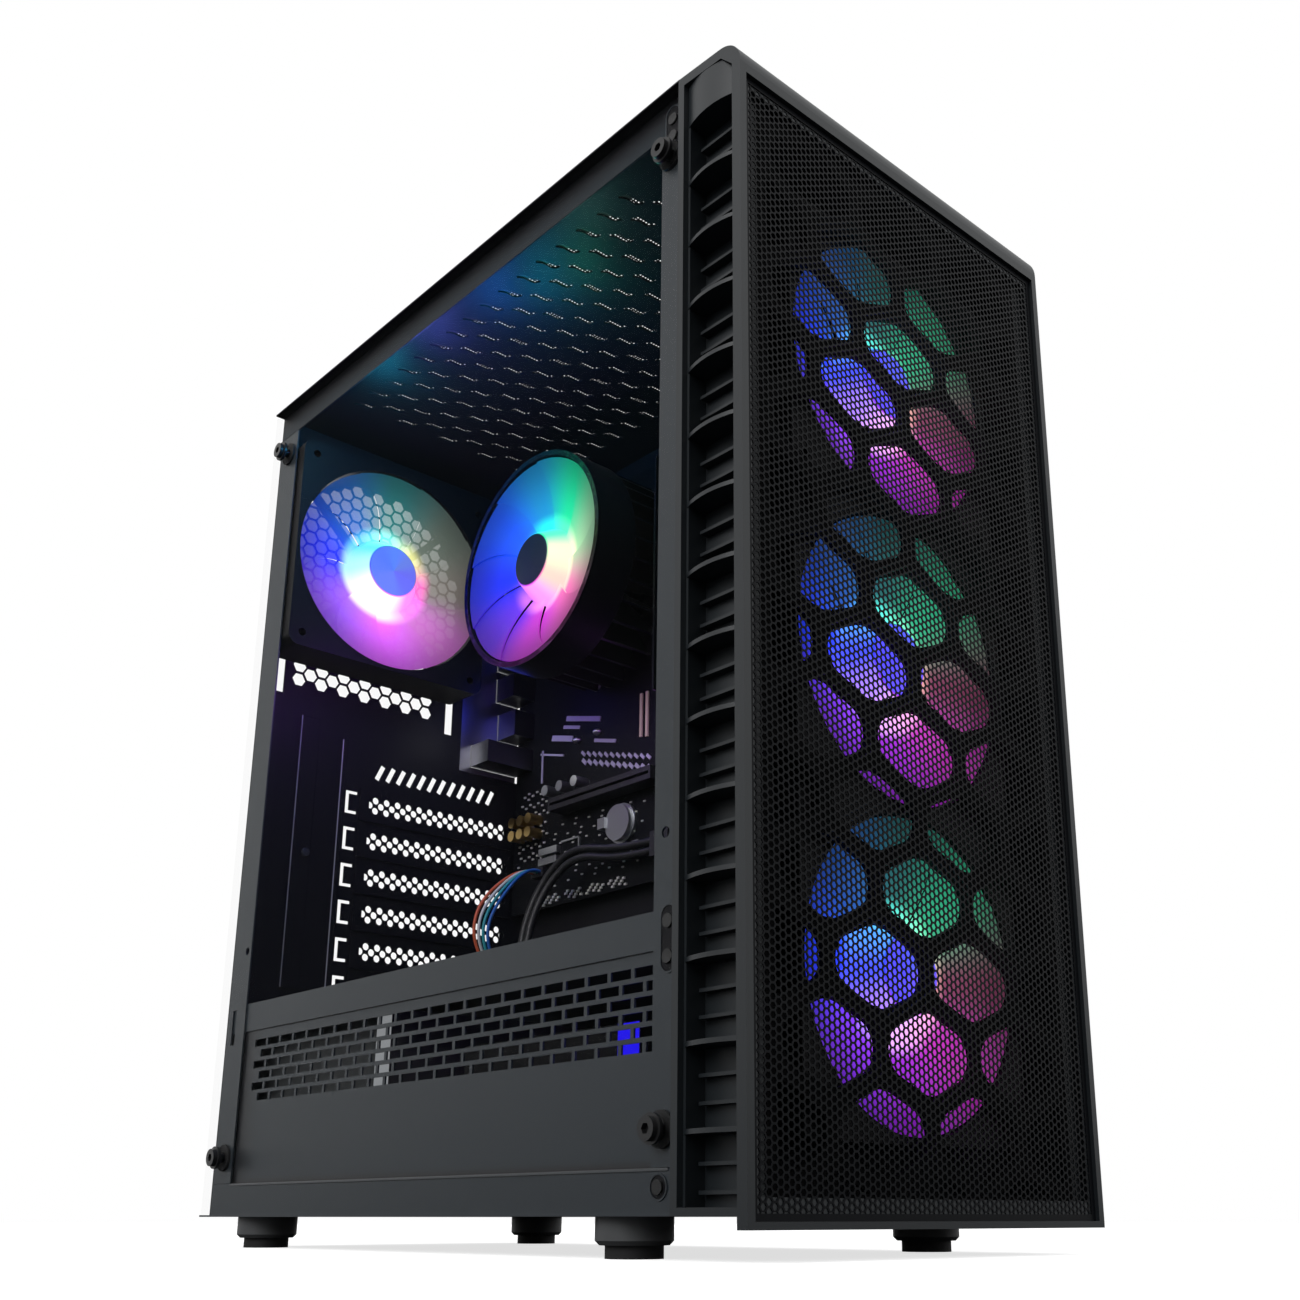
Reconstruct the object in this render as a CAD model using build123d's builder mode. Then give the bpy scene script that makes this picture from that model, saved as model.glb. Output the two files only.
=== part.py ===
from build123d import *
import os
from math import acos, cos, radians, sin, tan

os.makedirs("parts", exist_ok=True)

# Case sizes, read off the photo against the slot pitch and the fan hole spacing
case_width = 189.0
case_depth = 372.4
chassis_height = 429.9
foot_height = 13.5
sheet = 0.8
panel_gap = 0.3

# Left side: lips, flanges, rubber bushes, glass and thumbscrews
lip_inset = 0.5
lip_overhang = 5.0
bush_thick = 1.2
bush_r = 6.2
glass_thick = 3.0
glass_gap = 0.5
thumb_head = 3.3
thumb_flange = 1.3
thumb_flange_r = 5.2
thumb_r = 4.0
thumb_shank_r = 2.0
thumb_hole_r = 2.5
thumb_socket_r = 1.9
rear_head = 5.2
flange_front = 15.6
flange_rear = 18.1
flange_top = 14.3
flange_bottom = 14.1
strip_seam = 0.2

# The origin is on the floor under the middle of the whole box, screw heads included
thumb_reach = bush_thick + glass_thick + thumb_head - lip_inset - lip_overhang
rear_reach = sheet + rear_head
mid_x = thumb_reach / 2
left_x = mid_x - case_width / 2
right_x = mid_x + case_width / 2
front_y = -(case_depth + rear_reach) / 2
rear_y = front_y + case_depth
base_z = foot_height
roof_z = foot_height + chassis_height

# Bezel
bezel_depth = 34.6
bezel_drop = 4.0
bezel_wall = 2.6
bezel_corner = 12.0
bezel_fall = 2.4
bezel_lip = 4.6
mesh_inset = 1.6
mesh_thick = 0.5
mesh_side = 3.2
mesh_low = 2.4
mesh_high = 17.4
mesh_gap = 0.2
ledge_side = 6.5
ledge_low = 5.5
ledge_high = 22.0
bezel_back = front_y + bezel_depth
bezel_z0 = base_z - bezel_drop
bezel_z1 = roof_z - 0.8
bezel_in_z1 = bezel_z1 - bezel_fall - bezel_wall
mesh_z0 = bezel_z0 + mesh_low
mesh_z1 = bezel_z1 - mesh_high

# Chassis inside faces
inner_y0 = bezel_back + sheet
inner_y1 = rear_y - sheet
inner_z0 = base_z + sheet
inner_z1 = roof_z - sheet
lip_x = left_x + lip_inset
flange_x = lip_x + lip_overhang
flange_in = flange_x + sheet
right_in = right_x - sheet - panel_gap
thumb_y0 = bezel_back + 10.0
thumb_y1 = rear_y - 10.9
thumb_z0 = base_z + 27.0
thumb_z1 = roof_z - 27.2

# Board side
tray_depth = 9.9
standoff = 6.5
standoff_r = 3.0
pcb = 1.6
board_length = 205.0
board_height = 244.0
board_rear_gap = 1.5
tray_x = right_x - tray_depth
board_back = tray_x - standoff
board_face = board_back - pcb
board_y1 = inner_y1 - board_rear_gap
board_y0 = board_y1 - board_length
board_z1 = roof_z - 17.4
board_z0 = board_z1 - board_height

# Fans
fan_size = 120.0
fan_thick = 25.0
fan_holes = 105.0
fan_hole_r = 2.15
fan_corner = 6.0
fan_bore_r = 58.0
motor_r = 20.0
motor_thick = 3.5
strut_width = 4.0
hub_r = 20.0
hub_inset = 2.0
hub_gap = 0.4
shaft_r = 1.5
shaft_clear = 0.05
blade_r = 56.4
blade_count = 9
blade_thick = 1.6
ring_r = 61.0
front_fan_z = base_z + 83.5
front_fan_y = bezel_back - fan_thick
rear_fan_x = mid_x - 27.6
rear_fan_z = roof_z - 81.8
rear_fan_y = inner_y1 - fan_thick


def wall(y):
    return Plane(origin=(0, y, 0), x_dir=(1, 0, 0), z_dir=(0, -1, 0))


def side(x):
    return Plane(origin=(x, 0, 0), x_dir=(0, 1, 0), z_dir=(1, 0, 0))


def level(z):
    return Plane.XY.offset(z)


def block(low, high, mode=Mode.ADD):
    # A box between two corners, in the block being built
    middle = [(a + b) / 2 for a, b in zip(low, high)]
    size = [b - a for a, b in zip(low, high)]
    with Locations(tuple(middle)):
        Box(size[0], size[1], size[2], mode=mode)


def keep(piece, name):
    piece.part.label = name
    export_step(piece.part, f"parts/{name}.step")


# Feet: a stepped round body and a rubber pad
foot_r = 13.3
foot_pad_r = 9.9
foot_pad = 4.3
foot_pocket = 0.8
foot_x = 77.0
foot_y0 = front_y + 72.0
foot_y1 = rear_y - 36.4
foot_spots = [(mid_x - foot_x, foot_y0), (mid_x + foot_x, foot_y0),
              (mid_x - foot_x, foot_y1), (mid_x + foot_x, foot_y1)]
with BuildPart() as foot_bodies:
    with BuildSketch(level(foot_pad)):
        with Locations(*foot_spots):
            Circle(foot_r)
    extrude(amount=foot_height - foot_pad)
    chamfer(foot_bodies.edges().filter_by(GeomType.CIRCLE).group_by(Axis.Z)[0], 1.5)
    with BuildSketch(level(foot_pad)):
        with Locations(*foot_spots):
            Circle(foot_pad_r)
    extrude(amount=foot_pocket, mode=Mode.SUBTRACT)
keep(foot_bodies, "foot_bodies")

with BuildPart() as foot_pads:
    with BuildSketch(level(0)):
        with Locations(*foot_spots):
            Circle(foot_pad_r)
    extrude(amount=foot_pad + foot_pocket)
keep(foot_pads, "foot_pads")

# Power supply place, needed by the bottom and rear panels
psu_width = 150.0
psu_height = 86.0
psu_length = 135.0
psu_x = mid_x - 2.0
psu_y1 = inner_y1
psu_y0 = psu_y1 - psu_length
psu_mid_y = (psu_y0 + psu_y1) / 2
psu_z0 = inner_z0
psu_z1 = psu_z0 + psu_height

# Bottom panel: sheet with intake slots under the power supply
slot_width = 4.0
with BuildPart() as bottom_panel:
    block((lip_x, bezel_back, base_z), (right_in, rear_y, inner_z0))
    with BuildSketch(level(base_z)):
        with Locations((psu_x, psu_mid_y)):
            with GridLocations(50.0, 10.0, 2, 9):
                Rectangle(42.0, slot_width)
    extrude(amount=sheet, mode=Mode.SUBTRACT)
keep(bottom_panel, "bottom_panel")

# Top panel: sheet with staggered columns of small slanted air slots
roof_slot = 10.8
roof_slot_width = 2.7
roof_tilt = -26.0
roof_pitch_x = 13.35
roof_pitch_y = 15.2
roof_columns = 10
roof_rows = 16
roof_mid_y = (bezel_back + rear_y) / 2
roof_slot_x = mid_x - 63.6
roof_slot_y = front_y + 100.4
roof_spots = []
for column in range(roof_columns):
    for row in range(roof_rows):
        spot_y = roof_slot_y + (row - 0.5 * (column % 2)) * roof_pitch_y
        roof_spots.append((roof_slot_x + column * roof_pitch_x, spot_y))
with BuildPart() as top_panel:
    block((lip_x, bezel_back, inner_z1), (right_in, rear_y, roof_z))
    with BuildSketch(level(inner_z1)):
        with Locations(*roof_spots):
            Rectangle(roof_slot, roof_slot_width, rotation=roof_tilt)
    extrude(amount=sheet, mode=Mode.SUBTRACT)
keep(top_panel, "top_panel")

# Front panel: sheet behind the fans with three square openings
front_opening = 112.0
with BuildPart() as front_panel:
    block((flange_x, bezel_back, inner_z0), (right_in, inner_y0, inner_z1))
    with BuildSketch(wall(inner_y0)):
        for i in range(3):
            with Locations((mid_x, front_fan_z + i * fan_size)):
                Rectangle(front_opening, front_opening)
    extrude(amount=sheet, mode=Mode.SUBTRACT)
keep(front_panel, "front_panel")

# Rear panel: fan grille, vents, port window, slot windows and the power supply window
slot_pitch = 20.32
slot_z = base_z + 217.2
slot_length = 90.0
slot_open = 12.6
slot_x1 = board_face - 6.5
slot_x0 = slot_x1 - slot_length
slot_count = 6
port_width = 44.45
port_height = 158.75
port_x1 = board_face + 4.5
port_x0 = port_x1 - port_width
port_z1 = board_z1 - 4.0
port_z0 = port_z1 - port_height
grille_r = 54.0
grille_pitch = 13.0
grille_hole_r = 6.0
screw_r = 1.7
screw_hole_r = 1.9
screw_head_r = 3.2
screw_head = 2.0
psu_window_x = 136.0
psu_window_z = 74.0
psu_screw_x = 71.5
psu_screw_z = 38.0
panel_tab = 11.5
panel_screw_x = right_x - 6.0
panel_screw_z0 = base_z + 46.0
panel_screw_z1 = roof_z - 44.0
grille_spots = []
row_step = grille_pitch * 0.866
for row in range(-4, 5):
    for column in range(-5, 6):
        gx = (column + 0.5 * (row % 2)) * grille_pitch
        gz = row * row_step
        if (gx * gx + gz * gz) ** 0.5 + grille_hole_r < grille_r:
            grille_spots.append((rear_fan_x + gx, rear_fan_z + gz))
slant_pitch = 6.66
vent_r = 3.7
vent_pitch_x = 6.62
vent_pitch_z = 7.95
vent_spots = []
for column in range(13):
    vent_x = mid_x - 67.3 + column * vent_pitch_x
    vent_z = rear_fan_z - 65.0
    if column % 2:
        vent_spots.append((vent_x, vent_z))
    else:
        vent_spots += [(vent_x, vent_z - vent_pitch_z / 2), (vent_x, vent_z + vent_pitch_z / 2)]
with BuildPart() as rear_panel:
    block((flange_x, inner_y1, inner_z0), (right_in, rear_y, inner_z1))
    with BuildSketch(wall(rear_y)):
        with Locations(*grille_spots):
            RegularPolygon(grille_hole_r, 6, rotation=30)
    extrude(amount=sheet, mode=Mode.SUBTRACT)
    with BuildSketch(wall(rear_y)):
        with Locations((rear_fan_x, rear_fan_z)):
            with GridLocations(fan_holes, fan_holes, 2, 2):
                Circle(fan_hole_r)
        with Locations(((port_x0 + port_x1) / 2, (port_z0 + port_z1) / 2)):
            Rectangle(port_width, port_height)
        for i in range(slot_count):
            with Locations(((slot_x0 + slot_x1) / 2, slot_z - i * slot_pitch)):
                Rectangle(slot_length, slot_open)
        with Locations((psu_x, (psu_z0 + psu_z1) / 2)):
            Rectangle(psu_window_x, psu_window_z)
            with GridLocations(2 * psu_screw_x, 2 * psu_screw_z, 2, 2):
                Circle(screw_hole_r)
        with Locations((panel_screw_x, panel_screw_z0), (panel_screw_x, panel_screw_z1)):
            Circle(screw_hole_r)
    extrude(amount=sheet, mode=Mode.SUBTRACT)
    with BuildSketch(wall(rear_y)):
        with Locations((mid_x + 22.2, slot_z + slot_pitch)):
            with GridLocations(slant_pitch, 1, 12, 1):
                Rectangle(3.0, 9.6, rotation=-24)
        with Locations(*vent_spots):
            RegularPolygon(vent_r, 6)
        with Locations((mid_x - 78.3, rear_fan_z - 68.4), (mid_x + 27.8, rear_fan_z - 68.4)):
            Rectangle(5.0, 20.2)
    extrude(amount=sheet, mode=Mode.SUBTRACT)
keep(rear_panel, "rear_panel")

# Motherboard tray: sheet with a processor window and three cable slots
lead_y = inner_y1 - 36.6
lead_z = psu_z1 + 6.0
with BuildPart() as motherboard_tray:
    block((tray_x, inner_y0, inner_z0), (tray_x + sheet, inner_y1, inner_z1))
    with BuildSketch(side(tray_x)):
        with Locations((board_y1 - 95.0, board_z1 - 70.0)):
            Rectangle(120.0, 110.0)
        with Locations((board_y0 - 22.0, board_z1 - 60.0), (board_y0 - 22.0, board_z1 - 170.0)):
            Rectangle(22.0, 40.0)
        with Locations((lead_y - 7.0, lead_z)):
            Rectangle(36.0, 10.0)
    extrude(amount=sheet, mode=Mode.SUBTRACT)
keep(motherboard_tray, "motherboard_tray")

# Left side frame: four flange strips in one plane, with the thumbscrew holes
thumb_spots = [(thumb_y0, thumb_z0), (thumb_y0, thumb_z1), (thumb_y1, thumb_z0), (thumb_y1, thumb_z1)]
strip_z0 = inner_z0 + flange_bottom
strip_z1 = inner_z1 - flange_top
obround_y = inner_y0 + 6.9
with BuildPart() as left_side_frame:
    block((flange_x, inner_y0, inner_z0), (flange_in, inner_y1, strip_z0))
    block((flange_x, inner_y0, strip_z1), (flange_in, inner_y1, inner_z1))
    front_edge = inner_y0 + flange_front - sheet
    rear_edge = inner_y1 - flange_rear
    block((flange_x, inner_y0, strip_z0 + strip_seam), (flange_in, front_edge, strip_z1 - strip_seam))
    block((flange_x, rear_edge, strip_z0 + strip_seam), (flange_in, inner_y1, strip_z1 - strip_seam))
    with BuildSketch(side(flange_x)):
        with Locations(*thumb_spots):
            Circle(thumb_hole_r)
        with Locations((inner_y0 + 9.0, base_z + 126.0), (rear_edge + 4.0, base_z + 126.0)):
            Circle(2.0)
        with Locations((rear_edge + 11.4, base_z + 89.0)):
            Rectangle(4.0, 17.0)
    extrude(amount=sheet, mode=Mode.SUBTRACT)
keep(left_side_frame, "left_side_frame")

# Screws seen on the left flanges
frame_screw_spots = [(inner_y0 + 10.8, base_z + 9.0),
                     (obround_y, base_z + 83.0), (obround_y, base_z + 95.0),
                     (inner_y0 + 8.0, roof_z - 10.4), (inner_y0 + 8.0, roof_z - 18.5)]
with BuildPart() as frame_screws:
    with BuildSketch(side(flange_x - 1.0)):
        with Locations(*frame_screw_spots):
            Circle(2.4)
    extrude(amount=1.0)
keep(frame_screws, "frame_screws")

# Shroud: a side sheet with rows of brick slots, and a top sheet folded down over it
shroud_height = 99.5
shroud_fold = 13.5
shroud_lap = 4.0
brick_rows = 6
brick_pitch_z = 5.1
brick_pitch_y = 12.8
brick_columns = 23
brick_length = 11.0
brick_height = 3.4
shroud_z1 = base_z + shroud_height
shroud_x = flange_in + sheet
brick_z = base_z + 67.0
brick_y = (inner_y0 + inner_y1) / 2 - 12.9
with BuildPart() as psu_shroud_side:
    block((shroud_x, inner_y0, inner_z0),
          (shroud_x + sheet, inner_y1, shroud_z1 - shroud_fold + shroud_lap))
    with BuildSketch(side(shroud_x)):
        for row in range(brick_rows):
            shift = brick_pitch_y / 2 * (row % 2)
            row_z = brick_z + (row - (brick_rows - 1) / 2) * brick_pitch_z
            with Locations((brick_y + shift, row_z)):
                with GridLocations(brick_pitch_y, 1, brick_columns, 1):
                    Rectangle(brick_length, brick_height)
    extrude(amount=sheet, mode=Mode.SUBTRACT)
keep(psu_shroud_side, "psu_shroud_side")

lead_hole_x = tray_x - 38.0
with BuildPart() as psu_shroud_top:
    block((flange_in, inner_y0, shroud_z1 - sheet), (tray_x, inner_y1, shroud_z1))
    block((flange_in, inner_y0, shroud_z1 - shroud_fold), (shroud_x, inner_y1, shroud_z1))
    block((lead_hole_x - 18.0, lead_y - 26.0, shroud_z1 - sheet),
          (lead_hole_x + 24.0, lead_y + 14.0, shroud_z1), Mode.SUBTRACT)
keep(psu_shroud_top, "psu_shroud_top")

# Drive cage and one drive
drive_width = 101.6
drive_length = 146.0
drive_height = 26.0
drive_lift = 6.0
drive_gap = 0.3
cage_height = 66.0
cage_length = 110.0
cage_x = mid_x - 18.0
cage_y0 = inner_y0 + 44.0
cage_half = drive_width / 2 + drive_gap
with BuildPart() as drive_cage:
    cage_y1 = cage_y0 + cage_length
    cage_z1 = inner_z0 + cage_height
    block((cage_x - cage_half - sheet, cage_y0, inner_z0), (cage_x - cage_half, cage_y1, cage_z1))
    block((cage_x + cage_half, cage_y0, inner_z0), (cage_x + cage_half + sheet, cage_y1, cage_z1))
    block((cage_x - cage_half - sheet, cage_y0, cage_z1 - sheet),
          (cage_x + cage_half + sheet, cage_y1, cage_z1))
keep(drive_cage, "drive_cage")

with BuildPart() as hard_drive:
    drive_z0 = inner_z0 + drive_lift
    block((cage_x - drive_width / 2, cage_y0 + 4.0, drive_z0),
          (cage_x + drive_width / 2, cage_y0 + 4.0 + drive_length, drive_z0 + drive_height))
    chamfer(hard_drive.edges().filter_by(Axis.Z), 2.0)
keep(hard_drive, "hard_drive")

# Rubber bushes, glass and its four thumbscrews
with BuildPart() as glass_bushes:
    with BuildSketch(side(flange_x - bush_thick)):
        with Locations(*thumb_spots):
            Circle(bush_r)
            Circle(thumb_hole_r, mode=Mode.SUBTRACT)
    extrude(amount=bush_thick)
keep(glass_bushes, "glass_bushes")

glass_in = flange_x - bush_thick
glass_out = glass_in - glass_thick
glass_y0 = bezel_back + glass_gap
glass_z0 = inner_z0 + glass_gap
glass_z1 = inner_z1 - glass_gap
with BuildPart() as glass_panel:
    block((glass_out, glass_y0, glass_z0), (glass_in, rear_y, glass_z1))
    with BuildSketch(side(glass_out)):
        with Locations(*thumb_spots):
            Circle(thumb_hole_r)
    extrude(amount=glass_thick, mode=Mode.SUBTRACT)
keep(glass_panel, "glass_panel")

with BuildPart() as glass_thumbscrews:
    with BuildSketch(side(glass_out - thumb_flange)):
        with Locations(*thumb_spots):
            Circle(thumb_flange_r)
    extrude(amount=thumb_flange)
    with BuildSketch(side(glass_out - thumb_head)):
        with Locations(*thumb_spots):
            Circle(thumb_r)
    extrude(amount=thumb_head)
    with BuildSketch(side(glass_out)):
        with Locations(*thumb_spots):
            Circle(thumb_shank_r)
    extrude(amount=flange_in + 0.4 - glass_out)
    with BuildSketch(side(glass_out - thumb_head)):
        with Locations(*thumb_spots):
            RegularPolygon(thumb_socket_r, 6)
    extrude(amount=2.0, mode=Mode.SUBTRACT)
keep(glass_thumbscrews, "glass_thumbscrews")

# Right side panel with a rear tab, and its two thumbscrews
with BuildPart() as right_side_panel:
    block((right_x - sheet, bezel_back + panel_gap, base_z), (right_x, rear_y + sheet, roof_z))
    block((right_x - panel_tab, rear_y, base_z + 4.0), (right_x, rear_y + sheet, roof_z - 4.0))
    with BuildSketch(wall(rear_y + sheet)):
        with Locations((panel_screw_x, panel_screw_z0), (panel_screw_x, panel_screw_z1)):
            Circle(screw_hole_r)
    extrude(amount=sheet, mode=Mode.SUBTRACT)
keep(right_side_panel, "right_side_panel")

with BuildPart() as panel_thumbscrews:
    with BuildSketch(wall(rear_y + sheet + rear_head)):
        with Locations((panel_screw_x, panel_screw_z0), (panel_screw_x, panel_screw_z1)):
            Circle(thumb_flange_r)
    extrude(amount=rear_head)
    with BuildSketch(wall(rear_y + sheet)):
        with Locations((panel_screw_x, panel_screw_z0), (panel_screw_x, panel_screw_z1)):
            Circle(screw_r)
    extrude(amount=sheet + 5.0)
keep(panel_thumbscrews, "panel_thumbscrews")

# Top dust filter: a thin framed mesh lying on the roof
filter_width = 142.0
filter_length = 286.0
filter_thick = 1.6
filter_rim = 6.0
with BuildPart() as top_dust_filter:
    block((mid_x - filter_width / 2, roof_mid_y - filter_length / 2, roof_z),
          (mid_x + filter_width / 2, roof_mid_y + filter_length / 2, roof_z + filter_thick))
    rim_x = filter_width / 2 - filter_rim
    rim_y = filter_length / 2 - filter_rim
    block((mid_x - rim_x, roof_mid_y - rim_y, roof_z + 0.6),
          (mid_x + rim_x, roof_mid_y + rim_y, roof_z + filter_thick),
          Mode.SUBTRACT)
keep(top_dust_filter, "top_dust_filter")

# Screws behind the rear panel: rear fan and power supply
fan_screw_r = 2.0
with BuildPart() as rear_screws:
    with BuildSketch(wall(rear_y + screw_head)):
        with Locations((rear_fan_x, rear_fan_z)):
            with GridLocations(fan_holes, fan_holes, 2, 2):
                Circle(screw_head_r)
        with Locations((psu_x, (psu_z0 + psu_z1) / 2)):
            with GridLocations(2 * psu_screw_x, 2 * psu_screw_z, 2, 2):
                Circle(screw_head_r)
    extrude(amount=screw_head)
    with BuildSketch(wall(rear_y)):
        with Locations((rear_fan_x, rear_fan_z)):
            with GridLocations(fan_holes, fan_holes, 2, 2):
                Circle(fan_screw_r)
    extrude(amount=sheet + 6.0)
    with BuildSketch(wall(rear_y)):
        with Locations((psu_x, (psu_z0 + psu_z1) / 2)):
            with GridLocations(2 * psu_screw_x, 2 * psu_screw_z, 2, 2):
                Circle(screw_r)
    extrude(amount=sheet + 4.0)
keep(rear_screws, "rear_screws")

# Fan blade in its own frame: axis Z, root inside the hub, tip trimmed to the rotor's radius
blade_mid = 12.0
with BuildPart() as blade:
    with BuildSketch(Plane(origin=(hub_r * 0.8, 0, blade_mid), x_dir=(0, 1, 0), z_dir=(1, 0, 0))):
        Rectangle(20.0, blade_thick, rotation=40)
    with BuildSketch(Plane(origin=(fan_bore_r, 9.0, blade_mid), x_dir=(0, 1, 0), z_dir=(1, 0, 0))):
        Rectangle(28.0, blade_thick, rotation=26)
    loft(ruled=True)
    Cylinder(blade_r, 100.0, mode=Mode.INTERSECT)


def fan_frame(base, name, round_ring=False):
    # Frame with a round bore, a motor plate on four struts and a shaft hole
    strut_mid = (motor_r + fan_bore_r) / 2
    with BuildPart() as frame:
        with BuildSketch(base):
            if round_ring:
                Circle(ring_r)
            else:
                RectangleRounded(fan_size, fan_size, fan_corner)
            Circle(fan_bore_r, mode=Mode.SUBTRACT)
            if not round_ring:
                with GridLocations(fan_holes, fan_holes, 2, 2):
                    Circle(fan_hole_r, mode=Mode.SUBTRACT)
        extrude(amount=fan_thick)
        with BuildSketch(base.offset(fan_thick - motor_thick)):
            Circle(motor_r)
            with PolarLocations(strut_mid, 4, start_angle=45):
                Rectangle(fan_bore_r - motor_r + 1.0, strut_width)
        extrude(amount=motor_thick)
        with BuildSketch(base.offset(fan_thick - motor_thick)):
            Circle(shaft_r + shaft_clear)
        extrude(amount=motor_thick, mode=Mode.SUBTRACT)
    keep(frame, name)


def fan_rotor(base, name):
    # Hub cup, blades and the shaft that turns in the motor plate
    with BuildPart(base) as rotor:
        with BuildSketch(base.offset(hub_inset)):
            Circle(hub_r)
        extrude(amount=fan_thick - motor_thick - hub_inset - hub_gap)
        with PolarLocations(0, blade_count):
            add(blade.part)
        with BuildSketch(base.offset(hub_inset)):
            Circle(shaft_r)
        extrude(amount=fan_thick - hub_inset)
    keep(rotor, name)


for i in range(3):
    fan_z = front_fan_z + i * fan_size
    fan_base = Plane(origin=(mid_x, front_fan_y, fan_z), x_dir=(1, 0, 0), z_dir=(0, 1, 0))
    fan_frame(fan_base, f"front_fan_{i + 1}_frame")
    fan_rotor(fan_base, f"front_fan_{i + 1}_rotor")
rear_base = Plane(origin=(rear_fan_x, rear_fan_y, rear_fan_z), x_dir=(1, 0, 0), z_dir=(0, 1, 0))
fan_frame(rear_base, "rear_fan_frame")
fan_rotor(rear_base, "rear_fan_rotor")

# Processor cooler: ring frame, rotor and a round finned heatsink
cooler_height = 65.0
cooler_x = board_face - cooler_height
cooler_y = board_y1 - 94.9
cooler_z = board_z1 - 69.5
core_r = 18.0
fin_r = 60.0
fin_count = 32
fin_thick = 1.4
base_size = 40.0
base_thick = 6.0
cooler_base = Plane(origin=(cooler_x, cooler_y, cooler_z), x_dir=(0, 1, 0), z_dir=(1, 0, 0))
fan_frame(cooler_base, "cpu_fan_frame", round_ring=True)
fan_rotor(cooler_base, "cpu_fan_rotor")

with BuildPart() as cpu_heatsink:
    with BuildSketch(cooler_base.offset(fan_thick)):
        Circle(core_r)
        with PolarLocations((fin_r + core_r) / 2 - 1.0, fin_count):
            Rectangle(fin_r - core_r + 2.0, fin_thick)
    extrude(amount=cooler_height - fan_thick - base_thick)
    with BuildSketch(cooler_base.offset(cooler_height - base_thick)):
        Rectangle(base_size, base_size)
    extrude(amount=base_thick)
keep(cpu_heatsink, "cpu_heatsink")

# Motherboard and its standoffs
with BuildPart() as motherboard:
    block((board_face, board_y0, board_z0), (board_back, board_y1, board_z1))
keep(motherboard, "motherboard")

with BuildPart() as board_standoffs:
    with BuildSketch(side(board_back)):
        with Locations((board_y1 - 8.0, board_z0 + 8.0), (board_y1 - 8.0, board_z1 - 8.0),
                       (board_y1 - 165.0, board_z0 + 8.0), (board_y1 - 165.0, board_z1 - 8.0),
                       (board_y1 - 8.0, board_z1 - 165.0), (board_y1 - 165.0, board_z1 - 165.0)):
            Circle(standoff_r)
    extrude(amount=standoff)
keep(board_standoffs, "board_standoffs")

# Rear ports: bottom offset, width along the board and height off the board, lowest first
port_gap = 0.3
shield_thick = 0.5
port_depth = 18.0
socket_depth = 10.0
audio = (4.0, 13.0, 32.0)
network = (24.0, 16.0, 14.0)
usb_low = (48.0, 14.5, 16.0)
usb_high = (68.0, 14.5, 16.0)
video_small = (90.0, 16.0, 7.4)
video_large = (112.0, 31.0, 12.5)
plain_ports = [audio, network, video_small, video_large]
usb_stacks = [usb_low, usb_high]
all_ports = plain_ports + usb_stacks
usb_open_x = 5.2
usb_open_z = 12.6
insert_gap = 0.1
with BuildPart() as rear_ports:
    for low, width, height in plain_ports:
        block((board_face - height, rear_y - port_depth, port_z0 + low),
              (board_face, rear_y, port_z0 + low + width))
    block((board_face - 12.0, rear_y - socket_depth, port_z0 + network[0] + 2.0),
          (board_face - 3.0, rear_y, port_z0 + network[0] + network[1] - 2.0), Mode.SUBTRACT)
keep(rear_ports, "rear_ports")

# Each stack of two USB sockets is a steel shell with two windows and a block behind it
with BuildPart() as usb_ports:
    for low, width, height in usb_stacks:
        usb_z = port_z0 + low + width / 2
        block((board_face - height, rear_y - socket_depth, usb_z - width / 2),
              (board_face, rear_y, usb_z + width / 2))
        for lift in (4.2, 11.8):
            block((board_face - lift - usb_open_x / 2, rear_y - socket_depth, usb_z - usb_open_z / 2),
                  (board_face - lift + usb_open_x / 2, rear_y, usb_z + usb_open_z / 2), Mode.SUBTRACT)
        block((board_face - height, rear_y - port_depth, usb_z - width / 2),
              (board_face, rear_y - socket_depth - insert_gap, usb_z + width / 2))
keep(usb_ports, "usb_ports")

with BuildPart() as io_shield:
    block((port_x0 + 0.2, rear_y - shield_thick, port_z0 + 0.2), (board_face - 0.2, rear_y, port_z1 - 0.2))
    for low, width, height in all_ports:
        block((board_face - height - port_gap, rear_y - shield_thick, port_z0 + low - port_gap),
              (board_face, rear_y, port_z0 + low + width + port_gap), Mode.SUBTRACT)
keep(io_shield, "io_shield")

# Slot covers lie on the inside of the rear panel
cover_height = 18.4
with BuildPart() as slot_covers:
    for i in range(slot_count):
        block((slot_x0 - 6.0, inner_y1 - sheet, slot_z - i * slot_pitch - cover_height / 2),
              (slot_x1 + 5.0, inner_y1, slot_z - i * slot_pitch + cover_height / 2))
keep(slot_covers, "slot_covers")

# Memory: slots on the board and two modules standing in them
memory_pitch = 9.2
memory_y = board_y1 - 170.3
memory_z0 = board_z0 + 89.0
memory_length = 133.4
memory_height = 28.5
memory_thick = 1.4
slot_wide = 6.6
slot_tall = 8.0
slot_seat = 3.0
fit_gap = 0.1
with BuildPart() as memory_slots:
    for i in range(4):
        y = memory_y - (i - 1) * memory_pitch
        block((board_face - slot_tall, y - slot_wide / 2, memory_z0 - 4.0),
              (board_face, y + slot_wide / 2, memory_z0 + memory_length + 4.0))
        block((board_face - slot_tall, y - memory_thick / 2 - fit_gap, memory_z0 - fit_gap),
              (board_face - slot_seat, y + memory_thick / 2 + fit_gap, memory_z0 + memory_length + fit_gap),
              Mode.SUBTRACT)
keep(memory_slots, "memory_slots")

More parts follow.
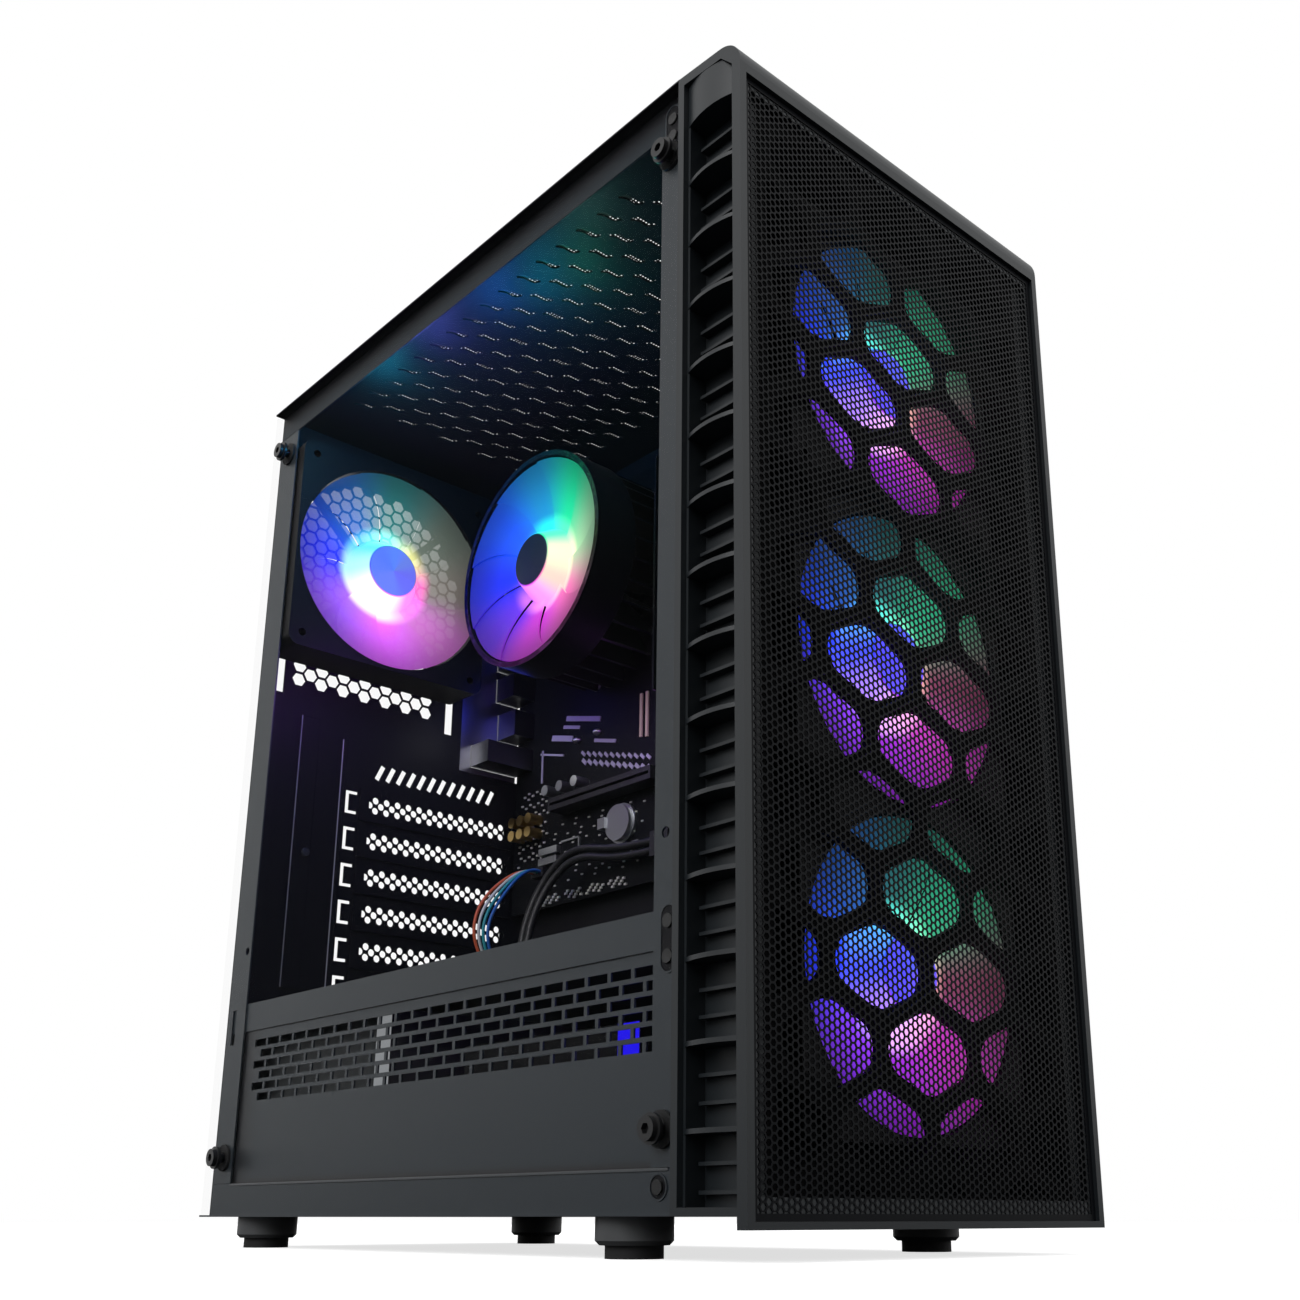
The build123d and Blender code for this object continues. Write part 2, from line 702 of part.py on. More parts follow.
with BuildPart() as memory_modules:
    for y in (memory_y + memory_pitch, memory_y - memory_pitch):
        block((board_face - slot_seat - memory_height, y - memory_thick / 2, memory_z0),
              (board_face - slot_seat, y + memory_thick / 2, memory_z0 + memory_length))
        for n in range(8):
            chip_z = memory_z0 + 6.0 + n * 15.6
            chip_x = board_face - slot_seat - memory_height
            block((chip_x + 4.0, y - memory_thick / 2 - 1.1, chip_z),
                  (chip_x + 15.0, y + memory_thick / 2 + 1.1, chip_z + 10.0))
keep(memory_modules, "memory_modules")

# Long expansion slot, a card's offset above the first slot cover
long_slot = 89.0
socket_tall = 11.0
socket_wide = 7.4
card_offset = 7.0
socket_y1 = board_y1 - 47.0
socket_z = slot_z + card_offset
with BuildPart() as expansion_slots:
    block((board_face - socket_tall, socket_y1 - long_slot, socket_z - socket_wide / 2),
          (board_face, socket_y1, socket_z + socket_wide / 2))
    block((board_face - socket_tall, socket_y1 - long_slot + 1.5, socket_z - 0.9),
          (board_face - 3.0, socket_y1 - 1.5, socket_z + 0.9), Mode.SUBTRACT)
keep(expansion_slots, "expansion_slots")

# Board parts: chip heatsink, coin battery, capacitors, connectors
chip_y = board_y1 - 172.0
chip_z = board_z0 + 34.0
with BuildPart() as chip_heatsink:
    block((board_face - 3.0, chip_y - 19.0, chip_z - 19.0), (board_face, chip_y + 19.0, chip_z + 19.0))
    for n in range(7):
        z = chip_z - 18.0 + n * 6.0
        block((board_face - 11.0, chip_y - 19.0, z - 0.9), (board_face - 3.0, chip_y + 19.0, z + 0.9))
keep(chip_heatsink, "chip_heatsink")

battery_y = board_y1 - 101.7
battery_z = board_z0 + 35.9
with BuildPart() as coin_battery:
    with BuildSketch(side(board_face - 5.0)):
        with Locations((battery_y, battery_z)):
            Circle(10.0)
    extrude(amount=3.2)
    with BuildSketch(side(board_face - 1.8)):
        with Locations((battery_y, battery_z)):
            Circle(11.2)
    extrude(amount=1.8)
keep(coin_battery, "coin_battery")

capacitor_r = 3.1
capacitor_tall = 9.0
with BuildPart() as capacitors:
    with BuildSketch(side(board_face - capacitor_tall)):
        with Locations((board_y1 - 17.0, board_z0 + 49.0)):
            with GridLocations(8.0, 8.0, 3, 2):
                Circle(capacitor_r)
        with Locations((board_y1 - 54.0, board_z0 + 66.2)):
            with GridLocations(13.4, 1, 3, 1):
                Circle(capacitor_r)
    extrude(amount=capacitor_tall)
keep(capacitors, "capacitors")

header_tall = 8.5
wire_z = board_z0 + 19.0
cable_z = board_z0 + 14.0
wire_pitch = 2.2
cable_pitch = 5.2
cable_y = lead_y - 17.8
cable_plug_y = board_y1 - 135.0
cable_plug_tall = 10.0
with BuildPart() as board_connectors:
    block((board_face - 14.0, board_y0 + 2.0, board_z1 - 126.0),
          (board_face, board_y0 + 12.0, board_z1 - 74.0))
    block((board_face - header_tall, lead_y - 5.5, wire_z - 2.8), (board_face, lead_y + 5.5, wire_z + 2.8))
    block((board_face - cable_plug_tall, cable_plug_y - 14.0, cable_z - 4.0),
          (board_face, cable_plug_y, cable_z + cable_pitch + 4.0))
keep(board_connectors, "board_connectors")


def lead(points, radius):
    # Straight runs joined by arcs; each arc takes 0.45 of the shorter run beside it
    corners = [Vector(*p) for p in points]
    radii = []
    for a, b, c in zip(corners, corners[1:], corners[2:]):
        run_in = b - a
        run_out = c - b
        turn = acos(max(-1.0, min(1.0, run_in.normalized().dot(run_out.normalized()))))
        radii.append(0.45 * min(run_in.length, run_out.length) / tan(turn / 2))
    with BuildLine() as path:
        FilletPolyline(*points, radius=radii)
    start = Plane(origin=points[0], z_dir=(corners[1] - corners[0]).normalized())
    with BuildSketch(start) as ring:
        Circle(radius)
    sweep(ring.sketch, path=path.line)
    print("lead arcs", [round(r, 1) for r in radii])


# Four thin wires from the board's lower edge, out, down and through the shroud to the tray
wire_r = 0.9
cable_r = 2.2
plug_x = board_face - header_tall
with BuildPart() as front_wires:
    for i in range(4):
        y = lead_y + (i - 1.5) * wire_pitch
        lead([(plug_x, y, wire_z), (plug_x - 9.0, y, wire_z), (lead_hole_x - 15.0, y, wire_z - 31.0),
              (lead_hole_x - 15.0, y, wire_z - 44.0), (lead_hole_x, y, wire_z - 62.0),
              (lead_hole_x, y, lead_z), (tray_x + 3.0, y, lead_z)], wire_r)
keep(front_wires, "front_wires")

# Two thicker cables run back along the board's lower edge, then lean out and drop through the shroud
cable_x = board_face - cable_plug_tall / 2 - 1.5
with BuildPart() as black_cables:
    for out in (0.0, cable_pitch):
        lead([(cable_x, cable_plug_y, cable_z + out),
              (cable_x, cable_plug_y + 28.0, cable_z + out),
              (cable_x - 6.0, cable_plug_y + 58.0 + 0.45 * out, cable_z + 7.0 + out),
              (cable_x - 11.0, cable_y - 7.0 + 0.8 * out, cable_z - 6.0 + 0.65 * out),
              (cable_x - 17.0, cable_y + out, cable_z - 26.0 + 0.2 * out),
              (lead_hole_x + 2.4, cable_y + out, cable_z - 49.5), (lead_hole_x + 1.4, cable_y + out, lead_z),
              (tray_x + 3.0, cable_y + out, lead_z)], cable_r)
keep(black_cables, "black_cables")

# Power supply: case with a fan pocket below, inlet pocket and switch pocket behind
pocket_r = fan_bore_r + 0.5
guard_thick = 1.6
psu_fan_z = psu_z0 + 3.0
inlet_x = psu_x - 46.0
inlet_z = psu_z0 + 60.0
inlet_width = 28.0
inlet_height = 20.0
inlet_depth = 15.0
switch_x = inlet_x + 30.0
switch_width = 9.0
switch_height = 17.0
switch_depth = 9.0
pivot_inset = 2.5
pivot_r = 1.2
pivot_clear = 0.05
pivot_length = 12.0
rocker_gap = 0.3
psu_base = level(psu_fan_z)
with BuildPart() as psu_case:
    block((psu_x - psu_width / 2, psu_y0, psu_z0), (psu_x + psu_width / 2, psu_y1, psu_z1))
    chamfer(psu_case.edges().filter_by(Axis.Y), 1.0)
    with BuildSketch(level(psu_z0)):
        with Locations((psu_x, psu_mid_y)):
            Circle(pocket_r)
    extrude(amount=3.0 + fan_thick, mode=Mode.SUBTRACT)
    with BuildSketch(level(psu_fan_z + fan_thick - motor_thick)):
        with Locations((psu_x, psu_mid_y)):
            Circle(motor_r)
            Circle(shaft_r + shaft_clear, mode=Mode.SUBTRACT)
    extrude(amount=motor_thick)
    block((inlet_x - inlet_width / 2, psu_y1 - inlet_depth, inlet_z - inlet_height / 2),
          (inlet_x + inlet_width / 2, psu_y1, inlet_z + inlet_height / 2), Mode.SUBTRACT)
    block((switch_x - switch_width / 2, psu_y1 - switch_depth, inlet_z - switch_height / 2),
          (switch_x + switch_width / 2, psu_y1, inlet_z + switch_height / 2), Mode.SUBTRACT)
    with BuildSketch(side(switch_x - pivot_length / 2)):
        with Locations((psu_y1 - pivot_inset, inlet_z)):
            Circle(pivot_r + pivot_clear)
    extrude(amount=pivot_length, mode=Mode.SUBTRACT)
    with BuildSketch(wall(psu_y1)):
        with Locations((psu_x, (psu_z0 + psu_z1) / 2)):
            with GridLocations(2 * psu_screw_x, 2 * psu_screw_z, 2, 2):
                Circle(screw_hole_r)
    extrude(amount=6.0, mode=Mode.SUBTRACT)
keep(psu_case, "psu_case")

psu_rotor_base = Plane(origin=(psu_x, psu_mid_y, psu_fan_z), x_dir=(1, 0, 0), z_dir=(0, 0, 1))
fan_rotor(psu_rotor_base, "psu_fan_rotor")

guard_plane = Plane(origin=(psu_x, psu_mid_y, psu_z0))
with BuildPart() as psu_fan_guard:
    for hoop_r in (pocket_r - 0.1, 46.0, 34.0, 22.0):
        with BuildSketch(guard_plane):
            Circle(hoop_r)
            Circle(hoop_r - 2.0, mode=Mode.SUBTRACT)
        extrude(amount=guard_thick)
    with BuildSketch(guard_plane):
        Rectangle(2 * pocket_r - 3.0, 2.0)
        Rectangle(2.0, 2 * pocket_r - 3.0)
    extrude(amount=guard_thick)
keep(psu_fan_guard, "psu_fan_guard")

pin_pitch = 7.0
pin_length = 8.0
mouth_width = 24.0
mouth_height = 16.0
mouth_depth = 13.4
with BuildPart() as psu_inlet:
    block((inlet_x - inlet_width / 2 + fit_gap, psu_y1 - inlet_depth, inlet_z - inlet_height / 2 + fit_gap),
          (inlet_x + inlet_width / 2 - fit_gap, psu_y1, inlet_z + inlet_height / 2 - fit_gap))
    block((inlet_x - mouth_width / 2, psu_y1 - mouth_depth, inlet_z - mouth_height / 2),
          (inlet_x + mouth_width / 2, psu_y1, inlet_z + mouth_height / 2), Mode.SUBTRACT)
    for n in range(3):
        pin_x = inlet_x + (n - 1) * pin_pitch
        pin_z = inlet_z + (2.0 if n == 1 else -2.0)
        block((pin_x - 1.0, psu_y1 - mouth_depth, pin_z - 2.0),
              (pin_x + 1.0, psu_y1 - mouth_depth + pin_length, pin_z + 2.0))
keep(psu_inlet, "psu_inlet")

# Rocker switch: a shallow V on a pivot pin, tipped to its "on" side
rocker_tip = 7.0
rocker_up = (0, cos(radians(rocker_tip)), sin(radians(rocker_tip)))
rocker_plane = Plane(origin=(switch_x, psu_y1 - pivot_inset, inlet_z), x_dir=rocker_up, z_dir=(1, 0, 0))
rocker_half = switch_width / 2 - rocker_gap
with BuildPart() as psu_switch:
    with BuildSketch(rocker_plane.offset(-rocker_half)):
        Polygon((-2.6, -3.2), (2.2, -6.9), (1.4, 0.0), (2.2, 6.9), (-2.6, 3.2), align=None)
    extrude(amount=2 * rocker_half)
    with BuildSketch(rocker_plane.offset(-(pivot_length / 2 - 0.3))):
        Circle(pivot_r)
    extrude(amount=pivot_length - 0.6)
keep(psu_switch, "psu_switch")

# Front bezel: hollow moulded frame with a mesh window, side windows and holes on top
louvre_y0 = front_y + 4.5
louvre_y1 = front_y + 31.4
louvre_z0 = base_z + bezel_wall
louvre_z1 = bezel_z1 - 4.5
louvre_gap = 0.15
button_y = front_y + 19.0
power_x = mid_x + 52.0
reset_x = mid_x + 32.0
power_r = 6.5
reset_r = 3.0
button_gap = 0.2
usb_spots = [(mid_x - 8.0, button_y), (mid_x - 30.0, button_y)]
usb_width = 14.4
usb_depth = 7.0
jack_spots = [(mid_x - 50.0, button_y), (mid_x - 64.0, button_y)]
jack_r = 4.0
jack_hole_r = 1.8
corner_fill = 5.0
window_outline = [(louvre_y0, louvre_z0), (louvre_y1, louvre_z0), (louvre_y1, louvre_z1),
                  (louvre_y0 + 6.0, louvre_z1 - 1.6), (louvre_y0, louvre_z1 - 8.0)]
with BuildPart() as front_bezel:
    with BuildSketch(side(left_x)):
        with BuildLine():
            Polyline((front_y, bezel_z0), (bezel_back, bezel_z0), (bezel_back, bezel_z1),
                     (front_y, bezel_z1 - bezel_fall), close=True)
        make_face()
    extrude(amount=case_width)
    fillet(front_bezel.edges().filter_by(Axis.X).group_by(Axis.Y)[0].sort_by(Axis.Z)[-1], bezel_corner)
    block((left_x, front_y + bezel_lip, bezel_z0), (right_x, bezel_back, base_z), Mode.SUBTRACT)
    with BuildSketch(side(left_x + bezel_wall)):
        with BuildLine():
            Polyline((front_y + bezel_lip, base_z + bezel_wall), (bezel_back, base_z + bezel_wall),
                     (bezel_back, bezel_in_z1), (front_y + bezel_lip + corner_fill, bezel_in_z1),
                     (front_y + bezel_lip, bezel_in_z1 - corner_fill), close=True)
        make_face()
    extrude(amount=case_width - 2 * bezel_wall, mode=Mode.SUBTRACT)
    block((left_x + mesh_side, front_y, mesh_z0),
          (right_x - mesh_side, front_y + mesh_inset + mesh_thick, mesh_z1), Mode.SUBTRACT)
    block((left_x + ledge_side, front_y, base_z + ledge_low),
          (right_x - ledge_side, front_y + bezel_lip, bezel_z1 - ledge_high), Mode.SUBTRACT)
    with BuildSketch(side(left_x)):
        with BuildLine():
            Polyline(*window_outline, close=True)
        make_face()
    extrude(amount=case_width, mode=Mode.SUBTRACT)
    with BuildSketch(level(bezel_in_z1)):
        with Locations((power_x, button_y)):
            Circle(power_r + button_gap)
        with Locations((reset_x, button_y)):
            Circle(reset_r + button_gap)
        with Locations(*usb_spots):
            Rectangle(usb_width + 2 * button_gap, usb_depth + 2 * button_gap)
        with Locations(*jack_spots):
            Circle(jack_r + button_gap)
    extrude(amount=bezel_wall + bezel_fall, mode=Mode.SUBTRACT)
keep(front_bezel, "front_bezel")

with BuildPart() as front_mesh:
    block((left_x + mesh_side + mesh_gap, front_y + mesh_inset, mesh_z0 + mesh_gap),
          (right_x - mesh_side - mesh_gap, front_y + mesh_inset + mesh_thick, mesh_z1 - mesh_gap))
keep(front_mesh, "front_mesh")

# Honeycomb guard in front of the fans: rows of wide six-sided cells
honey_thick = 2.0
honey_half = 81.5
honey_border = 4.0
cell_pitch = 51.4
row_pitch = 27.9
cell_half_width = 22.7
cell_side = 6.2
cell_tip = 15.7
honey_z = base_z + 82.2
honey_z0 = base_z + bezel_wall + 0.4
honey_z1 = bezel_z1 - 17.0
honey_y = front_y + bezel_lip
with BuildPart() as honeycomb_guard:
    block((mid_x - honey_half, honey_y, honey_z0), (mid_x + honey_half, honey_y + honey_thick, honey_z1))
    with BuildSketch(wall(honey_y + honey_thick)):
        for row in range(-3, 13):
            for column in range(-2, 3):
                shift = 0.0 if row % 2 else 0.5
                cell_x = mid_x + (column + shift) * cell_pitch
                with Locations((cell_x, honey_z + row * row_pitch)):
                    Polygon((-cell_half_width, -cell_side), (0.0, -cell_tip), (cell_half_width, -cell_side),
                            (cell_half_width, cell_side), (0.0, cell_tip), (-cell_half_width, cell_side))
        with Locations((mid_x, (honey_z0 + honey_z1) / 2)):
            Rectangle(2 * (honey_half - honey_border), honey_z1 - honey_z0 - 2 * honey_border,
                      mode=Mode.INTERSECT)
    extrude(amount=honey_thick, mode=Mode.SUBTRACT)
keep(honeycomb_guard, "honeycomb_guard")

# Side louvres: curved fins over a back wall with straight slats between them
fin_top = roof_z - 22.9
fin_pitch = 27.2
fin_rows = 15
fin_height = 1.6
fin_bow = 2.4
louvre_depth = 12.4
louvre_back = 1.6
slat_depth = 3.6
slat_height = 1.2
louvre_end = 1.2


def louvre(outer, inward, name):
    y0 = louvre_y0 + louvre_gap
    y1 = louvre_y1 - louvre_gap
    z0 = louvre_z0 + louvre_gap
    z1 = louvre_z1 - louvre_gap
    mid_y = (y0 + y1) / 2
    back = outer + inward * louvre_depth
    wall_x = outer + inward * (louvre_depth - louvre_back)
    slat_x = outer + inward * (louvre_depth - louvre_back - slat_depth)
    edge = outer + inward * fin_bow
    with BuildPart() as insert:
        block((min(wall_x, back), y0, z0), (max(wall_x, back), y1, z1))
        block((min(edge, back), y0, z0), (max(edge, back), y0 + louvre_end, z1))
        block((min(edge, back), y1 - louvre_end, z0), (max(edge, back), y1, z1))
        for n in range(fin_rows):
            fin_z = fin_top - n * fin_pitch
            with BuildSketch(level(fin_z - fin_height)):
                with BuildLine():
                    ThreePointArc((edge, y0), (outer, mid_y), (edge, y1))
                    Polyline((edge, y1), (wall_x, y1), (wall_x, y0), (edge, y0))
                make_face()
            extrude(amount=fin_height)
            for drop in (0.36, 0.68):
                slat_z = fin_z - drop * fin_pitch
                if slat_z - slat_height > z0:
                    block((min(slat_x, wall_x), y0 + 2.0, slat_z - slat_height),
                          (max(slat_x, wall_x), y1 - 2.0, slat_z))
        with BuildSketch(level(fin_top)):
            with BuildLine():
                ThreePointArc((edge, y0), (outer, mid_y), (edge, y1))
                Line((edge, y1), (edge + inward * 2.0, y1))
                ThreePointArc((edge + inward * 2.0, y1), (outer + inward * 2.0, mid_y),
                              (edge + inward * 2.0, y0))
                Line((edge + inward * 2.0, y0), (edge, y0))
            make_face()
        extrude(amount=z1 - fin_top)
        with BuildSketch(side(min(outer, back) - 1.0)):
            with BuildLine():
                Polyline((y0, z0), (y1, z0), (y1, z1), (y0 + 6.0, z1 - 1.7), (y0, z1 - 8.1), close=True)
            make_face()
        extrude(amount=louvre_depth + 2.0, mode=Mode.INTERSECT)
    keep(insert, name)


louvre(left_x, 1, "left_louvre")
louvre(right_x, -1, "right_louvre")

# Buttons and front ports in the top of the bezel
button_stand = 0.8
button_skirt = 1.4
stop_gap = 0.2
skirt_z1 = bezel_in_z1 - stop_gap
button_z = bezel_z1 - bezel_fall * (bezel_back - button_y) / bezel_depth
with BuildPart() as power_button:
    with BuildSketch(level(skirt_z1 - button_skirt)):
        with Locations((power_x, button_y)):
            Circle(power_r + 1.6)
    extrude(amount=button_skirt)
    with BuildSketch(level(skirt_z1)):
        with Locations((power_x, button_y)):
            Circle(power_r)
    extrude(amount=button_z + button_stand - skirt_z1)
keep(power_button, "power_button")

with BuildPart() as reset_button:
    with BuildSketch(level(skirt_z1 - button_skirt)):
        with Locations((reset_x, button_y)):
            Circle(reset_r + 1.4)
    extrude(amount=button_skirt)
    with BuildSketch(level(skirt_z1)):
        with Locations((reset_x, button_y)):
            Circle(reset_r)
    extrude(amount=button_z + button_stand / 2 - skirt_z1)
keep(reset_button, "reset_button")

port_drop = 14.0
port_top = button_z - 0.3
with BuildPart() as front_ports:
    block((mid_x - 70.0, button_y - 9.0, port_top - port_drop - pcb),
          (mid_x + 2.0, button_y + 9.0, port_top - port_drop))
    with BuildSketch(level(port_top - port_drop)):
        with Locations(*usb_spots):
            Rectangle(usb_width, usb_depth)
        with Locations(*jack_spots):
            Circle(jack_r)
    extrude(amount=port_drop)
    with BuildSketch(level(port_top - 10.0)):
        with Locations(*usb_spots):
            Rectangle(usb_open_z, usb_open_x)
        with Locations(*jack_spots):
            Circle(jack_hole_r)
    extrude(amount=10.0, mode=Mode.SUBTRACT)
keep(front_ports, "front_ports")
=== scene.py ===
# Desktop computer tower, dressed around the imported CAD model.
import math

import bpy
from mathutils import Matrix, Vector


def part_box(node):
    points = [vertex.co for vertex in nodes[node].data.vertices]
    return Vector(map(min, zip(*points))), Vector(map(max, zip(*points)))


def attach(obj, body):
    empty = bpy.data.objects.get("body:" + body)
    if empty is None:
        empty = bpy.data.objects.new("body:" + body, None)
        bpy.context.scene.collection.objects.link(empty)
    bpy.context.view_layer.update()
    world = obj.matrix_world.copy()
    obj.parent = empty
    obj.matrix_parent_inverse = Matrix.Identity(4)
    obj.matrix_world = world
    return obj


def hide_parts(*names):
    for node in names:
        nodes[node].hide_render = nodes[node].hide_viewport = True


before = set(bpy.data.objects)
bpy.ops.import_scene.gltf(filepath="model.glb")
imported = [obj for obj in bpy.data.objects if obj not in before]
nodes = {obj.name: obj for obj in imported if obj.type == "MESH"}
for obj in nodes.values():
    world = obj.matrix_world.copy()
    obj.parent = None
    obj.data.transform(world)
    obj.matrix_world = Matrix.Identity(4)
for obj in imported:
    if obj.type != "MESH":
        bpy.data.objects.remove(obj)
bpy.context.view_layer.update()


# Chassis sheets: pressed steel under a millimetre thick, riveted together and powder coated dark grey.
# The flat panels, flanges, tray and cage come from the CAD model, and only their coat is made here.
steel_grey = (0.020, 0.027, 0.034)
# Inside coat: the case's black inside paint, made darker still as painted shade of the dim interior.
inside_black_and_shade = (0.009, 0.009, 0.011)
grain_scale = 1400.0
grain_depth = 0.0002


def shader_of(material):
    # The node that makes a material's surface
    return material.node_tree.nodes["Principled BSDF"]


def feed(node, name, given):
    # Joins another node's output to an input, or sets the input to a plain value
    if isinstance(given, bpy.types.NodeSocket):
        node.id_data.links.new(given, node.inputs[name])
    else:
        node.inputs[name].default_value = given


def add_node(tree, kind, inputs, **choices):
    # A new node with its choices made and its inputs fed
    node = tree.nodes.new("ShaderNode" + kind)
    for name, choice in choices.items():
        setattr(node, name, choice)
    for name, given in inputs.items():
        feed(node, name, given)
    return node


def plain_finish(name, colour, roughness, shine=0.3):
    # One even colour and gloss, as of moulded plastic or rubber
    finish = bpy.data.materials.new(name)
    finish.use_nodes = True
    feed(shader_of(finish), "Base Color", (*colour, 1.0))
    feed(shader_of(finish), "Roughness", roughness)
    feed(shader_of(finish), "Specular IOR Level", shine)
    return finish


def powder_coat(name, colour, roughness, grain, shine=0.2):
    # Satin paint with a fine orange-peel grain
    coat = plain_finish(name, colour, roughness, shine)
    tree = coat.node_tree
    place = add_node(tree, "TexCoord", {}).outputs["Object"]
    speckle = add_node(tree, "TexNoise", {"Vector": place, "Scale": grain_scale, "Detail": 1.0})
    height = speckle.outputs["Fac"]
    relief = add_node(tree, "Bump", {"Height": height, "Strength": grain, "Distance": grain_depth})
    feed(shader_of(coat), "Normal", relief.outputs["Normal"])
    return coat


def work_out(tree, operation, first, second):
    # One step of arithmetic on two values
    return add_node(tree, "Math", {0: first, 1: second}, operation=operation).outputs["Value"]


def mix_colours(tree, share, first, second, way="MIX"):
    # Two colours, with the second one's share from 0 to 1
    inputs = {"Factor": share, "A": first, "B": second}
    return add_node(tree, "Mix", inputs, data_type="RGBA", blend_type=way).outputs["Result"]


def stretch(tree, value, start, end, low=0.0, high=1.0, way="LINEAR"):
    # Turns the span from start to end into one from low to high
    inputs = {"Value": value, "From Min": start, "From Max": end, "To Min": low, "To Max": high}
    return add_node(tree, "MapRange", inputs, interpolation_type=way).outputs["Result"]


def place_along(tree, axis):
    # How far along an axis a point of the piece lies
    place = tree.nodes["Texture Coordinate"].outputs["Object"]
    return add_node(tree, "SeparateXYZ", {"Vector": place}).outputs[axis]


def shaded_coat(name, colour, dark, shades, shine=0.4):
    # Paint that darkens towards the folds that keep the light off it
    coat = powder_coat(name, colour, 0.45, 0.12, shine)
    tree = coat.node_tree
    deepest = 0.0
    for axis, dark_at, light_at in shades:
        shade = stretch(tree, place_along(tree, axis), light_at, dark_at)
        deepest = work_out(tree, "MAXIMUM", deepest, shade)
    shaded = mix_colours(tree, deepest, (*colour, 1.0), (*dark, 1.0))
    feed(shader_of(coat), "Base Color", shaded)
    return coat


def paint(material, *names):
    # Puts one finish on CAD nodes that show as they are
    for name in names:
        mesh = nodes[name].data
        mesh.materials.clear()
        mesh.materials.append(material)


def repaint(mesh, material, chosen):
    # Puts a second finish on the chosen faces
    mesh.materials.append(material)
    for face in mesh.polygons:
        if chosen(face):
            face.material_index = 1


steel_paint = powder_coat("steel_paint", steel_grey, 0.45, 0.12, 0.4)
inner_paint_and_shade = powder_coat("inner_paint_and_shade", inside_black_and_shade, 0.55, 0.1, 0.1)
paint(steel_paint, "left_side_frame", "bottom_panel", "right_side_panel", "psu_shroud_top")
paint(inner_paint_and_shade, "front_panel", "motherboard_tray", "drive_cage")
# Painted shade on the top rail: its coat darkens upwards, towards the roof's overhanging lip.
rail_foot_z = 0.4275
rail_light_z = 0.4310
rail_dark_z = 0.4385
rail_shade_paint = shaded_coat("rail_shade_paint", steel_grey, inside_black_and_shade, [("Z", rail_dark_z, rail_light_z)], 0.1)
repaint(nodes["left_side_frame"].data, rail_shade_paint, lambda face: face.center.z > rail_foot_z)


# Roof: a steel sheet pierced with staggered rows of small wavy air slots, cut in one press stroke.
# Each slot is an S about a centimetre long; the magnetic filter above shows through them.
def middle_of(node):
    # The middle of a CAD node's box
    low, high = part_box(node)
    return (low + high) / 2


roof_low, roof_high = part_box("top_panel")
middle_x = middle_of("front_bezel").x
front_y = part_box("front_bezel")[0].y
cut_margin = 0.003
wave_length = 0.0115
wave_width = 0.0027
wave_height = 0.0011
wave_tilt = math.radians(-26)
wave_pitch_x = 0.01335
wave_pitch_y = 0.0152
wave_columns = 10
wave_rows = 16
wave_first_x = middle_x - 0.0636
wave_first_y = front_y + 0.1004


def clear_bench():
    # Leaves nothing selected, so that the next tool works on its own piece only
    bpy.ops.object.select_all(action="DESELECT")


def settle(name):
    # Names the new piece and puts its place, turn and size into its mesh
    piece = bpy.context.object
    piece.name = name
    bpy.ops.object.transform_apply(location=True, rotation=True, scale=True)
    return piece


def flat_block(name, low, high):
    # A box between two corners
    clear_bench()
    size = [b - a for a, b in zip(low, high)]
    centre = [(a + b) / 2 for a, b in zip(low, high)]
    bpy.ops.mesh.primitive_cube_add(size=1, location=centre, scale=size)
    return settle(name)


def open_mesh():
    # Opens the piece in hand for editing, with all of it selected
    bpy.ops.object.mode_set(mode="EDIT")
    bpy.ops.mesh.select_all(action="SELECT")


def pull_out(shift):
    # Makes a solid of the flat outline in hand
    open_mesh()
    bpy.ops.mesh.extrude_region_move(TRANSFORM_OT_translate={"value": shift})
    bpy.ops.mesh.select_all(action="SELECT")
    bpy.ops.mesh.normals_make_consistent(inside=False)
    bpy.ops.object.mode_set(mode="OBJECT")


def stamp(tool, places):
    # Copies of one cutter, each with its own mesh, moved to its place
    copies = []
    for place in places:
        copy = bpy.data.objects.new(tool.name, tool.data.copy())
        copy.location = place
        bpy.context.collection.objects.link(copy)
        copies.append(copy)
    bpy.data.objects.remove(tool)
    return copies


def merge(pieces):
    # Joins pieces into the first one
    clear_bench()
    for piece in pieces:
        piece.select_set(True)
    bpy.context.view_layer.objects.active = pieces[0]
    if len(pieces) > 1:
        bpy.ops.object.join()
    bpy.ops.object.transform_apply(location=True, rotation=True, scale=True)
    return pieces[0]


def apply_modifier(piece, modifier):
    # Makes a modifier's work part of the mesh
    clear_bench()
    piece.select_set(True)
    bpy.context.view_layer.objects.active = piece
    bpy.ops.object.modifier_apply(modifier=modifier.name)


def punch(sheet, tool, operation="DIFFERENCE"):
    # Cuts the tool out of the sheet and removes it
    cut = sheet.modifiers.new("punch", "BOOLEAN")
    cut.operation = operation
    cut.object = tool
    cut.solver = "EXACT"
    apply_modifier(sheet, cut)
    bpy.data.objects.remove(tool)


